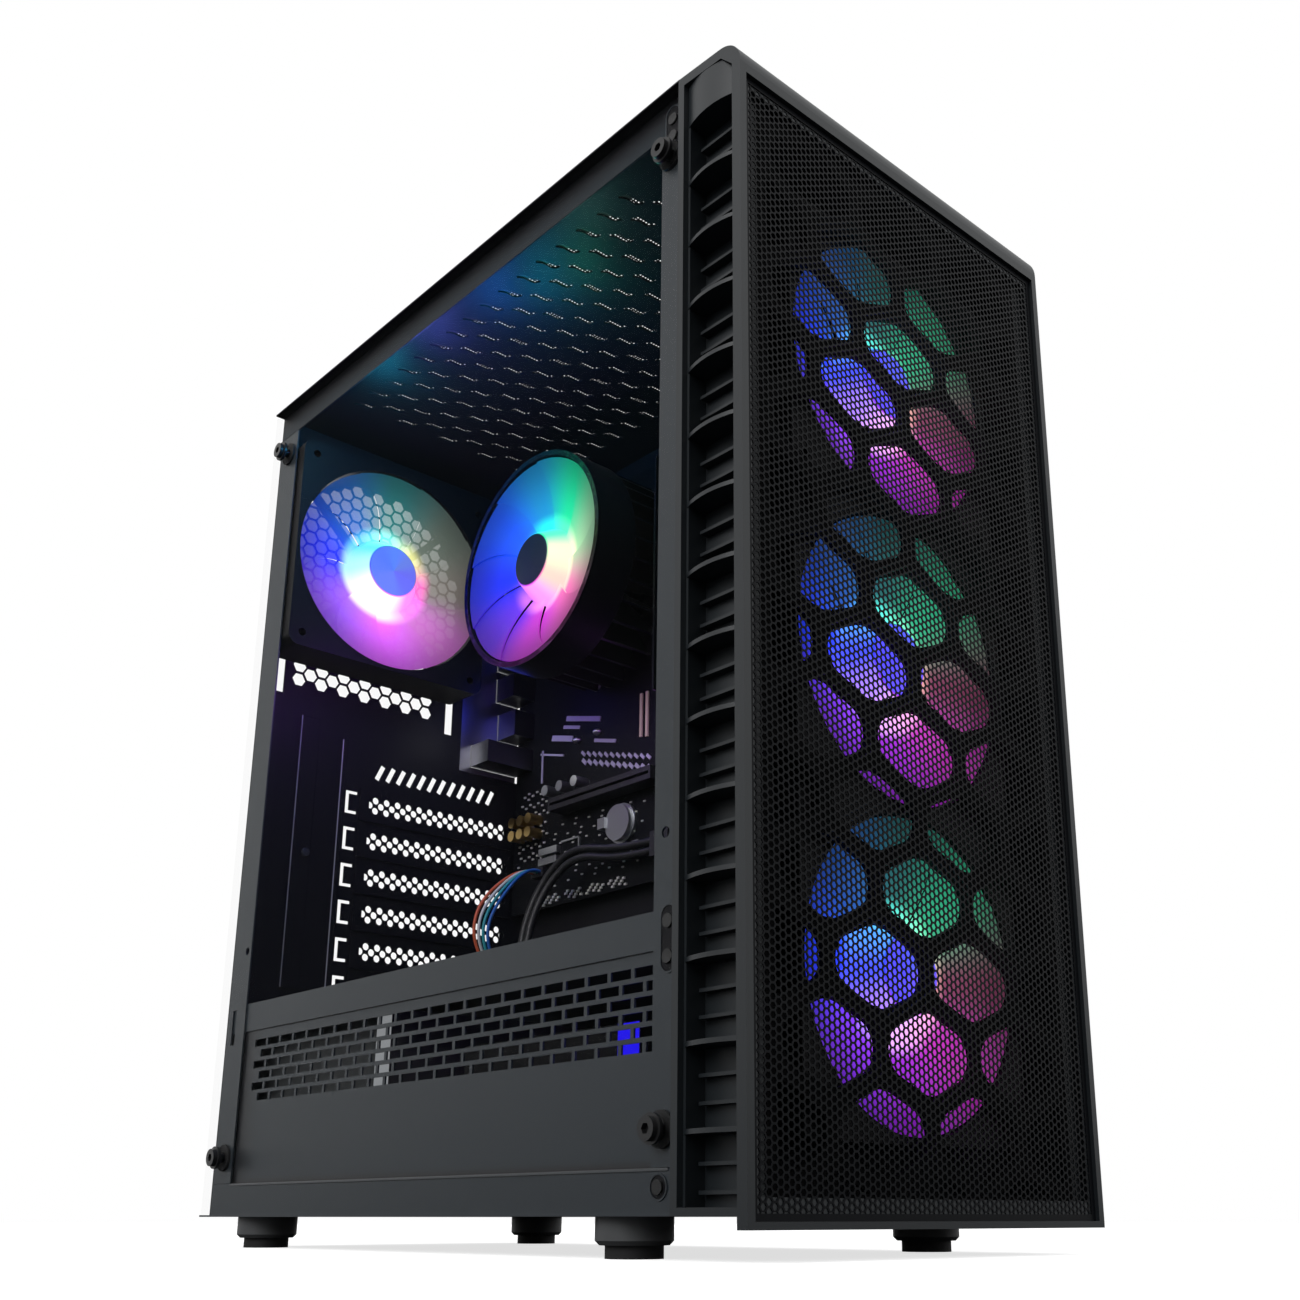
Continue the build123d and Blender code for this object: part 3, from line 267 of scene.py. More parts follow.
clear_bench()
bpy.ops.mesh.primitive_grid_add(x_subdivisions=8, y_subdivisions=1, size=1, location=(0, 0, 0))
wave_tool = bpy.context.object
for corner in wave_tool.data.vertices:
    along = corner.co.x
    taper = 1.0 - 0.5 * (2 * abs(along)) ** 4
    corner.co.y = corner.co.y * wave_width * taper + wave_height * math.sin(2 * math.pi * along)
    corner.co.x = along * wave_length
    corner.co.z = cut_margin
pull_out((0, 0, -2 * cut_margin))
wave_tool.rotation_euler = (0, 0, wave_tilt)
settle("wave_tool")
wave_places = []
for column in range(wave_columns):
    for row in range(wave_rows):
        half_step = 0.5 * (column % 2)
        wave_x = wave_first_x + column * wave_pitch_x
        wave_y = wave_first_y + (row - half_step) * wave_pitch_y
        wave_places.append((wave_x, wave_y, roof_low.z))
roof = flat_block("roof_sheet", roof_low, roof_high)
punch(roof, merge(stamp(wave_tool, wave_places)))
roof_paint = powder_coat("roof_paint", (0.014, 0.0145, 0.016), 0.55, 0.1, 0.04)
roof.data.materials.append(roof_paint)
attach(roof, "chassis")
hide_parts("top_panel")


# Rear panel: one steel sheet pressed with a hexagon grille for the fan, vents, port and slot windows.
# White daylight shows through every opening when the case is seen from inside.
rear_low, rear_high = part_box("rear_panel")
shield_low, shield_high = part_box("io_shield")
cover_low, cover_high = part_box("slot_covers")
fan_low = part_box("rear_fan_frame")[0]
fan_x = middle_of("rear_fan_frame").x
fan_z = middle_of("rear_fan_frame").z
supply_middle = middle_of("psu_case")
panel_y = (rear_low.y + rear_high.y) / 2
along_y = (math.pi / 2, 0, 0)
hex_turn = (math.pi / 2, math.pi / 6, 0)
hex_radius = 0.00385
grille_radius = 0.0565
grille_reach = 8
grille_pitch_z = 0.00764
vent_radius = 0.0039
vent_pitch_x = 0.00662
vent_pitch_z = 0.00795
vent_count = 13
vent_first_x = middle_x - 0.0673
vent_z = fan_z - 0.065
port_overlap = 0.005
slot_count = 6
slot_pitch = 0.02032
slot_first_z = cover_high.z - 0.0092
slot_left = cover_low.x + 0.006
slot_right = cover_high.x - 0.005
slot_half = 0.0063
notch_x = middle_x - 0.0334
notch_left = notch_x - 0.0011
notch_right = notch_x + 0.0011
notch_half = 0.0064
prong_from = notch_x + 0.0005
prong_to = notch_x + 0.006
prong_offset = 0.0055
prong_half = 0.0009
supply_half_width = 0.068
supply_half_height = 0.037
upright_places = (middle_x - 0.0783, middle_x + 0.0278)
upright_half = 0.0025
upright_bottom = fan_z - 0.0785
upright_top = fan_z - 0.0583
slant_count = 12
slant_pitch = 0.00666
slant_first_x = middle_x - 0.0144
slant_z = cover_high.z + 0.0108
slant_size = (0.0029, 2 * cut_margin, 0.0094)
slant_turn = (0, math.radians(24), 0)


def rod(name, sides, radius, length, centre=(0, 0, 0), turn=(0, 0, 0)):
    # A bar with so many sides, upright unless it is turned
    clear_bench()
    bpy.ops.mesh.primitive_cylinder_add(vertices=sides, radius=radius, depth=length,
                                        location=centre, rotation=turn)
    return settle(name)


def window(name, left, right, bottom, top):
    # A block that cuts right through the rear sheet
    low = (left, rear_low.y - cut_margin, bottom)
    high = (right, rear_high.y + cut_margin, top)
    return flat_block(name, low, high)


rear_panel = flat_block("rear_panel_sheet", rear_low, rear_high)
grille_places = []
for column in range(-grille_reach, grille_reach + 1):
    for row in range(-grille_reach, grille_reach + 1):
        cell_x = column * vent_pitch_x
        cell_z = (row + 0.5 * (column % 2)) * grille_pitch_z
        if math.hypot(cell_x, cell_z) < grille_radius:
            grille_places.append((fan_x + cell_x, panel_y, fan_z + cell_z))
grille_tool = rod("grille_tool", 6, hex_radius, 2 * cut_margin, turn=hex_turn)
punch(rear_panel, merge(stamp(grille_tool, grille_places)))
vent_places = []
for column in range(vent_count):
    steps = (0.0,) if column % 2 else (-0.5, 0.5)
    for step in steps:
        vent_places.append((vent_first_x + column * vent_pitch_x, panel_y, vent_z + step * vent_pitch_z))
vent_tool = rod("vent_tool", 6, vent_radius, 2 * cut_margin, turn=hex_turn)
punch(rear_panel, merge(stamp(vent_tool, vent_places)))
port_right = shield_high.x + port_overlap
windows = [window("port_window", shield_low.x, port_right, shield_low.z, shield_high.z)]
prongs = []
for step in range(slot_count):
    slot_z = slot_first_z - step * slot_pitch
    windows.append(window("slot_window", slot_left, slot_right, slot_z - slot_half, slot_z + slot_half))
    windows.append(window("notch", notch_left, notch_right, slot_z - notch_half, slot_z + notch_half))
    for prong_z in (slot_z - prong_offset, slot_z + prong_offset):
        prongs.append(window("notch_prong", prong_from, prong_to, prong_z - prong_half, prong_z + prong_half))
supply_left = supply_middle.x - supply_half_width
supply_right = supply_middle.x + supply_half_width
supply_bottom = supply_middle.z - supply_half_height
supply_top = supply_middle.z + supply_half_height
windows.append(window("supply_window", supply_left, supply_right, supply_bottom, supply_top))
for upright_x in upright_places:
    left = upright_x - upright_half
    windows.append(window("upright_slot", left, upright_x + upright_half, upright_bottom, upright_top))
punch(rear_panel, merge(windows))
punch(rear_panel, merge(prongs))
slants = []
for step in range(slant_count):
    clear_bench()
    slant_place = (slant_first_x + step * slant_pitch, panel_y, slant_z)
    bpy.ops.mesh.primitive_cube_add(size=1, location=slant_place, rotation=slant_turn, scale=slant_size)
    slants.append(bpy.context.object)
punch(rear_panel, merge(slants))
# Painted shade: the sheet's inner faces take the darker inside coat, and only its outer faces the steel grey.
rear_panel.data.materials.append(inner_paint_and_shade)
repaint(rear_panel.data, steel_paint, lambda face: face.normal.y > 0.5)
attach(rear_panel, "chassis")
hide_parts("rear_panel")


# Rear ridges: two long folds pressed into the rear sheet to stiffen it, and a steel stud on the left one.
# They stand about a millimetre into the case, and their left slopes carry a painted highlight in a pale coat.
press_rise = 0.0009
press_foot_z = 0.126
press_spots = [("left", -0.063, -0.052, 0.273), ("right", -0.0378, -0.0346, 0.265)]
press_highlight_paint = powder_coat("press_highlight_paint", (0.34, 0.34, 0.37), 0.4, 0.05, 0.5)
stud_radius = 0.0023
stud_height = 0.0014
stud_spot = (-0.0552, rear_low.y - press_rise - stud_height / 2, 0.198)


def soften(piece, width, steps):
    # Rounds the sharp edges of a piece
    rounding = piece.modifiers.new("rounding", "BEVEL")
    rounding.width = width
    rounding.segments = steps
    rounding.limit_method = "ANGLE"
    apply_modifier(piece, rounding)


for side, press_left, press_right, press_top in press_spots:
    low = (press_left, rear_low.y - press_rise, press_foot_z)
    press = flat_block(f"{side}_press", low, (press_right, rear_low.y, press_top))
    soften(press, press_rise * 0.9, 2)
    press.data.materials.append(inner_paint_and_shade)
    # Painted highlight: the left-facing slopes get the pale coat, and the rest the dark inside coat.
    repaint(press.data, press_highlight_paint, lambda face: face.normal.x < -0.3)
    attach(press, "chassis")
rear_stud = rod("rear_stud", 24, stud_radius, stud_height, stud_spot, along_y)
soften(rear_stud, stud_height * 0.6, 3)
bpy.ops.object.shade_smooth()
rear_stud.data.materials.append(steel_paint)
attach(rear_stud, "chassis")


# Slot covers: six steel strips screwed over the unused expansion slots, drilled with staggered round holes.
# Each hole is a short punched tube; the covers lie against the inside of the rear panel.
cover_height = 0.0184
hole_radius = 0.0020
hole_gap = 0.00695
hole_row = 0.0029
hole_rows = 3
hole_count = 13
hole_first_x = middle_x - 0.0164
hole_lift = 0.0004
covers = []
for step in range(slot_count):
    cover_top = cover_high.z - step * slot_pitch
    low = (cover_low.x, cover_low.y, cover_top - cover_height)
    covers.append(flat_block("slot_cover", low, (cover_high.x, cover_high.y, cover_top)))
strips = merge(covers)
strips.name = "slot_cover_strips"
drill_places = []
for step in range(slot_count):
    drill_z = slot_first_z - step * slot_pitch + hole_lift
    for row in range(hole_rows):
        for column in range(hole_count + row % 2):
            drill_x = hole_first_x + (column - 0.5 * (row % 2)) * hole_gap
            drill_places.append((drill_x, cover_low.y, drill_z + (row - 1) * hole_row))
drill = rod("drill", 10, hole_radius, 2 * cut_margin, turn=along_y)
punch(strips, merge(stamp(drill, drill_places)))
strips.data.materials.append(inner_paint_and_shade)
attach(strips, "chassis")
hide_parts("slot_covers")


# Shroud side: a steel sheet with six staggered rows of brick slots, tucked behind the front flange.
# The top sheet folds down over its upper edge and both are riveted to the flanges.
# The base rail below it ends in a rolled edge, whose pale coat is a painted highlight.
shroud_low, shroud_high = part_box("psu_shroud_side")
brick_pitch = 0.0128
brick_row = 0.0051
brick_columns = 23
brick_rows = 6
brick_size = Vector((0.004, 0.011, 0.0034))
brick_middle_y = (shroud_low.y + shroud_high.y) / 2 - 0.0065
brick_middle_z = shroud_low.z + 0.0662
brick_first_y = brick_middle_y - brick_columns / 2 * brick_pitch
brick_first_z = brick_middle_z - (brick_rows - 1) / 2 * brick_row
shroud_sheet = flat_block("shroud_sheet", shroud_low, shroud_high)
brick = flat_block("brick", -brick_size / 2, brick_size / 2)
brick_places = []
for row in range(brick_rows):
    for column in range(brick_columns):
        brick_y = brick_first_y + (column + 0.5 * (row % 2)) * brick_pitch
        brick_places.append((shroud_low.x, brick_y, brick_first_z + row * brick_row))
punch(shroud_sheet, merge(stamp(brick, brick_places)))
# Painted shade on the shroud sheet: darker towards the rear column, in a thin line along the front flange and
# just above the base rail.
column_front = shroud_high.y - 0.0181
flange_back = shroud_low.y + 0.0148
base_rail_top = shroud_low.z + 0.0141
shroud_painted_shades = [("Y", column_front, column_front - 0.020), ("Y", flange_back, flange_back + 0.0012),
                 ("Z", base_rail_top + 0.0006, base_rail_top + 0.0030)]
shroud_shade_paint = shaded_coat("shroud_shade_paint", steel_grey, inside_black_and_shade, shroud_painted_shades)
shroud_sheet.data.materials.append(shroud_shade_paint)
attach(shroud_sheet, "chassis")
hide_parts("psu_shroud_side")
rail_face = shroud_low.x - 0.0016
hem_stand = 0.0004
hem_height = 0.0010
hem_radius = 0.00018
hem_front = flange_back - 0.0088
hem_low = (rail_face - hem_stand, hem_front, base_rail_top - hem_height)
rail_hem = flat_block("rail_hem", hem_low, (rail_face, column_front, base_rail_top))
soften(rail_hem, hem_radius, 2)
# Painted highlight: the rolled edge is coated lighter than the rail's steel.
hem_highlight_paint = powder_coat("hem_highlight_paint", (0.055, 0.06, 0.066), 0.35, 0.05, 0.5)
rail_hem.data.materials.append(hem_highlight_paint)
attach(rail_hem, "chassis")


# Flange recesses: two upright rounded hollows pressed into the front flange, each with a pair of screws,
# and a round one about the screw of the base rail. Each has a thin raised rim and a darker bed, which is
# painted shade.
flange_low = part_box("left_side_frame")[0]
along_x = (0, math.pi / 2, 0)
recess_radius = 0.0042
recess_height = 0.0236
round_radius = 0.0044
recess_spots = [("lower", flange_low.y + 0.0069, 0.1026, recess_radius, recess_height),
                ("upper", flange_low.y + 0.0085, 0.4280, recess_radius, recess_height),
                ("rail", flange_low.y + 0.0108, 0.0225, round_radius, 2 * round_radius)]
rim_width = 0.0006
rim_depth = 0.0008
bed_depth = 0.0002
bore_depth = 0.004


def obround(name, y, z, radius, height, depth):
    # An upright rounded pill lying on the flange
    pill = rod(name, 30, radius, depth, turn=along_x)
    for corner in pill.data.vertices:
        corner.co.z += math.copysign(height / 2 - radius, corner.co.z)
        corner.co += Vector((flange_low.x, y, z))
    return pill


for side, pill_y, pill_z, pill_radius, pill_height in recess_spots:
    inner_radius = pill_radius - rim_width
    inner_height = pill_height - 2 * rim_width
    recess_rim = obround(f"{side}_recess_rim", pill_y, pill_z, pill_radius, pill_height, rim_depth)
    punch(recess_rim, obround("hollow", pill_y, pill_z, inner_radius, inner_height, bore_depth))
    recess_rim.data.materials.append(steel_paint)
    # The bed is a thin dark layer of painted shade inside the rim.
    recess_shade_bed = obround(f"{side}_recess", pill_y, pill_z, inner_radius, inner_height, bed_depth)
    recess_shade_bed.data.materials.append(inner_paint_and_shade)
    for piece in (recess_rim, recess_shade_bed):
        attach(piece, "chassis")


# Feet: turned grey plastic bodies screwed under the base, each with a soft black pad pressed into it.
# The same soft rubber makes the four bushes that the glass rests on.
foot_plastic = plain_finish("foot_plastic", (0.085, 0.088, 0.092), 0.45)
black_rubber = plain_finish("black_rubber", (0.014, 0.014, 0.015), 0.7)
paint(foot_plastic, "foot_bodies")
paint(black_rubber, "foot_pads", "glass_bushes")


# Fan frames: black mouldings with a round bore and a motor plate on four struts; the cooler's is a ring.
# They are glass-filled plastic, screwed to the front and rear steel and clipped over the heatsink.
fan_black = plain_finish("fan_black", (0.007, 0.007, 0.008), 0.5, 0.1)
paint(fan_black, "front_fan_1_frame", "front_fan_2_frame", "front_fan_3_frame")
paint(fan_black, "rear_fan_frame", "cpu_fan_frame")


# Rotors: milky plastic wheels of nine broad swept blades, lit from the hub by a ring of coloured lamps.
# Each is pressed on a steel shaft and turns inside its frame.
hub_face = 0.0148
hub_radius = 0.0215
hub_waist = -0.0125
hub_back = -0.0185
hub_sides = 64
hub_rounding = 0.0014
blade_root = 0.0195
blade_tip = 0.0572
blade_count = 9
blade_angle = math.radians(40.4)
blade_sweep = math.radians(16)
blade_rise = 0.0014
blade_dish = 0.0128
blade_thickness = 0.001
smooth_angle = math.radians(35)


def thicken(piece, thickness):
    # Gives a bare surface its thickness, half to each side
    wall = piece.modifiers.new("wall", "SOLIDIFY")
    wall.thickness = thickness
    wall.offset = 0
    apply_modifier(piece, wall)


clear_bench()
bpy.ops.mesh.primitive_grid_add(x_subdivisions=8, y_subdivisions=6, size=1, location=(0, 0, 0))
blade = bpy.context.object
blade.name = "blade"
for corner in blade.data.vertices:
    outward = corner.co.x + 0.5
    across = corner.co.y
    reach = blade_root + outward * (blade_tip - blade_root)
    turn = across * blade_angle + blade_sweep * outward * outward
    rise = hub_waist + blade_dish * outward + across * 2 * blade_rise * (1.0 - 0.6 * outward)
    corner.co = (reach * math.cos(turn), reach * math.sin(turn), rise)
thicken(blade, blade_thickness)
blades = [blade]
for step in range(1, blade_count):
    copy = bpy.data.objects.new("blade", blade.data.copy())
    copy.rotation_euler = (0, 0, 2 * math.pi * step / blade_count)
    bpy.context.collection.objects.link(copy)
    blades.append(copy)
clear_bench()
bpy.ops.mesh.primitive_cone_add(vertices=hub_sides, radius1=hub_radius, radius2=hub_face,
                                depth=-hub_waist, location=(0, 0, hub_waist / 2))
hub = settle("hub")
soften(hub, hub_rounding, 3)
motor_middle = (0, 0, (hub_waist + hub_back) / 2)
motor = rod("motor", hub_sides, hub_radius, hub_waist - hub_back, motor_middle)
wheel = merge([hub, motor] + blades)
wheel.name = "wheel"
bpy.ops.object.shade_smooth_by_angle(angle=smooth_angle)

# Colours run round each fan from its left side by way of the bottom: left, low left, bottom, low right,
# right, upper right, top, upper left; the cores are the hotter colours of the ring beside the hub.
front_hues = [(0.02, 0.04, 0.85), (0.2, 0.03, 0.75), (0.28, 0.02, 0.56), (0.45, 0.03, 0.42),
              (0.18, 0.04, 0.09), (0.03, 0.36, 0.19), (0.02, 0.11, 0.11), (0.02, 0.08, 0.34)]
front_cores = [(0.06, 0.08, 1.0), (0.35, 0.2, 1.0), (0.8, 0.4, 1.0), (0.95, 0.4, 0.8),
               (0.9, 0.45, 0.4), (0.25, 1.0, 0.6), (0.1, 0.8, 0.7), (0.08, 0.3, 1.0)]
rear_hues = [(0.02, 0.03, 0.9), (0.32, 0.1, 0.95), (0.7, 0.12, 0.95), (0.5, 0.14, 0.5),
             (0.16, 0.14, 0.12), (0.12, 0.15, 0.12), (0.03, 0.2, 0.2), (0.02, 0.12, 0.5)]
rear_cores = [(0.35, 0.7, 1.0), (0.95, 0.85, 1.0), (1.0, 0.85, 1.0), (0.95, 0.2, 1.0),
              (0.9, 0.12, 0.5), (0.8, 0.8, 0.3), (0.2, 1.0, 0.9), (0.1, 0.6, 1.0)]
cooler_hues = [(0.01, 0.03, 0.95), (0.12, 0.03, 0.75), (0.55, 0.04, 0.6), (0.75, 0.12, 0.4),
               (0.34, 0.62, 0.34), (0.01, 0.7, 0.32), (0.01, 0.28, 0.62), (0.01, 0.1, 0.98)]
cooler_cores = [(0.01, 0.04, 0.95), (0.6, 0.15, 0.95), (1.0, 0.3, 0.9), (1.0, 0.6, 0.5),
                (1.0, 0.95, 0.6), (0.1, 1.0, 0.5), (0.02, 0.9, 0.85), (0.02, 0.2, 1.0)]
unlit = [(0.0, 0.0, 0.0)] * 8
front_hub = (0.12, 0.1, 0.95)
rear_hub = (0.1, 0.16, 0.75)
cooler_hub = (0.004, 0.008, 0.025)
unlit_hub = (0.0, 0.0, 0.0)
full_covers = [1.0] * 8
rear_covers = [0.75, 0.88, 0.92, 0.85, 0.7, 0.6, 0.5, 0.6]
cooler_covers = [0.97] * 8
milk_dark = (0.012, 0.012, 0.014)
core_reach = [(0.255, 0.0), (0.268, 1.0), (0.405, 0.9), (0.53, 0.0)]
tip_glow = 0.3
hub_share = 0.4


def colour_run(tree, value, stops):
    # A smooth run of colours along a value, from stops of a position and a colour
    ramp = add_node(tree, "ValToRGB", {"Fac": value})
    ramp.color_ramp.interpolation = "EASE"
    marks = ramp.color_ramp.elements
    while len(marks) < len(stops):
        marks.new(1.0)
    for mark, (position, colour) in zip(marks, stops):
        mark.position = position
        mark.color = (*colour, 1.0)
    return ramp.outputs["Color"]


def round_stops(colours):
    # Even stops round a wheel, which ends on the colour it begins with
    count = len(colours)
    return [(step / count, colours[step % count]) for step in range(count + 1)]


def lit_plastic(name, centre, ways, hues, cores, hub_hue, strength, covers):
    # Milky plastic that glows in a wheel of colours round the fan's axis, hottest beside the hub
    glow = plain_finish(name, milk_dark, 0.4, 0.15)
    tree = glow.node_tree
    place = add_node(tree, "TexCoord", {}).outputs["Object"]
    to_centre = [-part for part in centre]
    centred = add_node(tree, "Mapping", {"Vector": place, "Location": to_centre}).outputs["Vector"]
    flat = add_node(tree, "CombineXYZ", {})
    for axis, way in zip("XY", ways):
        along = add_node(tree, "VectorMath", {0: centred, 1: way}, operation="DOT_PRODUCT")
        feed(flat, axis, along.outputs["Value"])
    spot = flat.outputs["Vector"]
    angle = add_node(tree, "TexGradient", {"Vector": spot}, gradient_type="RADIAL").outputs["Fac"]
    reach = add_node(tree, "VectorMath", {0: spot}, operation="LENGTH").outputs["Value"]
    hue_wheel = colour_run(tree, angle, round_stops(hues))
    core_wheel = colour_run(tree, angle, round_stops(cores))
    cover_wheel = colour_run(tree, angle, round_stops([(cover,) * 3 for cover in covers]))
    fade = stretch(tree, reach, hub_radius, blade_tip * 1.1, 1.0, tip_glow, "SMOOTHSTEP")
    dimmed = add_node(tree, "VectorMath", {0: hue_wheel, "Scale": fade}, operation="SCALE").outputs["Vector"]
    ring = stretch(tree, reach, 0.0, blade_tip)
    core_share = colour_run(tree, ring, [(position, (level,) * 3) for position, level in core_reach])
    blade_colour = mix_colours(tree, core_share, dimmed, core_wheel)
    hub_colour = mix_colours(tree, hub_share, (*hub_hue, 1.0), core_wheel, "MULTIPLY")
    on_hub = work_out(tree, "LESS_THAN", reach, hub_face * 0.97)
    solid_hub = work_out(tree, "LESS_THAN", reach, hub_radius)
    shader = shader_of(glow)
    feed(shader, "Emission Color", mix_colours(tree, on_hub, blade_colour, hub_colour))
    feed(shader, "Emission Strength", strength)
    feed(shader, "Alpha", work_out(tree, "MAXIMUM", solid_hub, cover_wheel))
    return glow


side_turn = (0, -math.pi / 2, 0)
low_turn = (math.pi, 0, 0)
from_front = ((1, 0, 0), (0, 0, 1))
from_left = ((0, -1, 0), (0, 0, 1))
from_below = ((1, 0, 0), (0, -1, 0))
rotor_depth = 0.05


def hang_rotor(name, node, body, turn, ways, hues, cores, hub_hue, strength, covers):
    # One wheel, turned to its axis, set where its CAD rotor is
    low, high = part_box(node)
    frame_name = node.replace("rotor", "frame")
    centre = middle_of(frame_name if frame_name in nodes else node)
    for k in range(3):
        if high[k] - low[k] < rotor_depth:
            centre[k] = low[k]
    rotor = bpy.data.objects.new(name, wheel.data.copy())
    bpy.context.collection.objects.link(rotor)
    rotor.rotation_euler = turn
    rotor.location = centre
    merge([rotor])
    rotor.data.materials.clear()
    glow = lit_plastic(name + "_glow", centre, ways, hues, cores, hub_hue, strength, covers)
    rotor.data.materials.append(glow)
    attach(rotor, body)
    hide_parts(node)


for step in (1, 2, 3):
    hang_rotor(f"front_wheel_{step}", f"front_fan_{step}_rotor", f"front_fan_{step}_spin",
               along_y, from_front, front_hues, front_cores, front_hub, 1.5, full_covers)
hang_rotor("rear_wheel", "rear_fan_rotor", "rear_fan_spin",
           along_y, from_front, rear_hues, rear_cores, rear_hub, 1.6, rear_covers)
hang_rotor("cooler_wheel", "cpu_fan_rotor", "cpu_fan_spin",
           side_turn, from_left, cooler_hues, cooler_cores, cooler_hub, 1.4, cooler_covers)
hang_rotor("supply_wheel", "psu_fan_rotor", "psu_fan_spin",
           low_turn, from_below, unlit, unlit, unlit_hub, 1.0, full_covers)
bpy.data.objects.remove(wheel)


# Cooler lip: the clear front edge of the ring round the processor's fan.
# It is a thin band of plastic on the black frame, and glows with painted light in the colours of the lit
# rotor beside it.
ring_low, ring_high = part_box("cpu_fan_frame")
ring_middle = middle_of("cpu_fan_frame")
lip_depth = 0.0008
lip_centre = Vector((ring_low.x + lip_depth / 2, ring_middle.y, ring_middle.z))
lip_outer = (ring_high.z - ring_low.z) / 2 - 0.0002
lip_inner = 0.0582
lip_sides = 96
cooler_lip = rod("cooler_lip", lip_sides, lip_outer, lip_depth, lip_centre, along_x)
punch(cooler_lip, rod("lip_bore", lip_sides, lip_inner, bore_depth, lip_centre, along_x))
lip_painted_glow = lit_plastic("lip_painted_glow", lip_centre, from_left, cooler_hues, cooler_cores, cooler_hub,
                       0.5, full_covers)
cooler_lip.data.materials.append(lip_painted_glow)
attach(cooler_lip, "chassis")


# Board: a black printed board on brass standoffs, with black sockets, dark heatsinks and bare metal ports.
# Its small soldered parts and its slanted printed bars are made here, measured from the rear lower corner.
board_low, board_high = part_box("motherboard")


def bare_metal(name, colour, roughness):
    # Plated or raw metal
    metal = plain_finish(name, colour, roughness)
    feed(shader_of(metal), "Metallic", 1.0)
    return metal


def board_bar(back, up, length, width, lift, tilt=0.0):
    # A flat bar on the board, turned about the board's normal
    clear_bench()
    place = (board_low.x - lift / 2, board_high.y - back, board_low.z + up)
    size = (lift, length, width)
    bpy.ops.mesh.primitive_cube_add(size=1, location=place, rotation=(tilt, 0, 0), scale=size)
    return settle("board_bar")


def board_group(name, bars, material):
    # Joins the bars into one piece on the board
    piece = merge(bars)
    piece.name = name
    piece.data.materials.append(material)
    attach(piece, "chassis")


board_black = plain_finish("board_black", (0.004, 0.0045, 0.0055), 0.5, 0.08)
socket_black = plain_finish("socket_black", (0.014, 0.014, 0.016), 0.5)
anodised = powder_coat("anodised", (0.008, 0.008, 0.009), 0.4, 0.05)
brass = bare_metal("brass", (0.55, 0.38, 0.14), 0.3)
plated = bare_metal("plated", (0.55, 0.56, 0.58), 0.32)
port_steel = bare_metal("port_steel", (0.14, 0.14, 0.15), 0.35)
print_pale = plain_finish("print_pale", (0.42, 0.4, 0.52), 0.5)
print_cream = plain_finish("print_cream", (0.5, 0.44, 0.28), 0.5)
solder_pale = plain_finish("solder_pale", (0.5, 0.5, 0.46), 0.35)
paint(board_black, "motherboard", "memory_modules")
paint(socket_black, "memory_slots", "expansion_slots", "board_connectors")
paint(anodised, "cpu_heatsink", "chip_heatsink")
paint(brass, "board_standoffs")
paint(plated, "io_shield", "coin_battery", "capacitors", "psu_fan_guard", "front_ports")
paint(port_steel, "rear_ports", "usb_ports")

# Each bar is given as its way back and up, its length and width, and its lift where that differs.
print_lift = 0.0006
print_tilt = math.radians(14.4)
print_spots = [(0.0640, 0.1058, 0.0324, 0.0030), (0.0533, 0.1033, 0.0158, 0.0020),
               (0.0448, 0.0985, 0.0204, 0.0034), (0.0843, 0.0876, 0.0195, 0.0020),
               (0.0353, 0.0907, 0.0230, 0.0012)]
print_upright = (0.0260, 0.0854, 0.0012, 0.0200)
dash_tilt = math.radians(42)
dash_count = 12
dash_pitch = 0.0052
dash_rows = [(0.0650, 0.0845, 0.266, 0.0042, 0.0017), (0.0660, 0.0795, 0.290, 0.0046, 0.0021)]
print_bars = [board_bar(*spot, print_lift, print_tilt) for spot in print_spots]
print_bars.append(board_bar(*print_upright, print_lift))
for step in range(dash_count):
    along = dash_pitch * step
    for back, up, slope, length, width in dash_rows:
        dash_up = up - slope * along
        print_bars.append(board_bar(back + along, dash_up, length, width, print_lift, dash_tilt))
board_group("board_print", print_bars, print_pale)

strip_lift = 0.0010
strip_spots = [(0.1157, 0.0945, 0.0018, 0.0250), (0.1206, 0.0940, 0.0018, 0.0260)]
strip_bars = [board_bar(*spot, strip_lift) for spot in strip_spots]
board_group("board_strips", strip_bars, print_cream)

# Each field of soldered specks has a count, a corner and a size, and one speck's length, width and lift.
scatter_back = 0.7549
scatter_up = 0.5698
speck_fields = [(60, (0.006, 0.028), (0.028, 0.044), (0.0016, 0.0010, 0.0008)),
                (70, (0.036, 0.010), (0.084, 0.038), (0.0016, 0.0008, 0.0006)),
                (40, (0.032, 0.0015), (0.078, 0.005), (0.0018, 0.0012, 0.0010))]
speck_bars = []
for count, corner, field, (length, width, lift) in speck_fields:
    for step in range(count):
        back = corner[0] + field[0] * (step * scatter_back % 1)
        up = corner[1] + field[1] * (step * scatter_up % 1)
        speck_bars.append(board_bar(back, up, length, width, lift))
board_group("board_specks", speck_bars, solder_pale)

metal_spots = [(0.0372, 0.0323, 0.0170, 0.0040, 0.0030), (0.0372, 0.0265, 0.0170, 0.0040, 0.0030),
               (0.0551, 0.0360, 0.0160, 0.0010, 0.0010), (0.0634, 0.0310, 0.0010, 0.0100, 0.0010),
               (0.1170, 0.0200, 0.0050, 0.0060, 0.0050), (0.0900, 0.0372, 0.0060, 0.0060, 0.0066)]
metal_bars = [board_bar(*spot) for spot in metal_spots]
board_group("board_metal", metal_bars, plated)

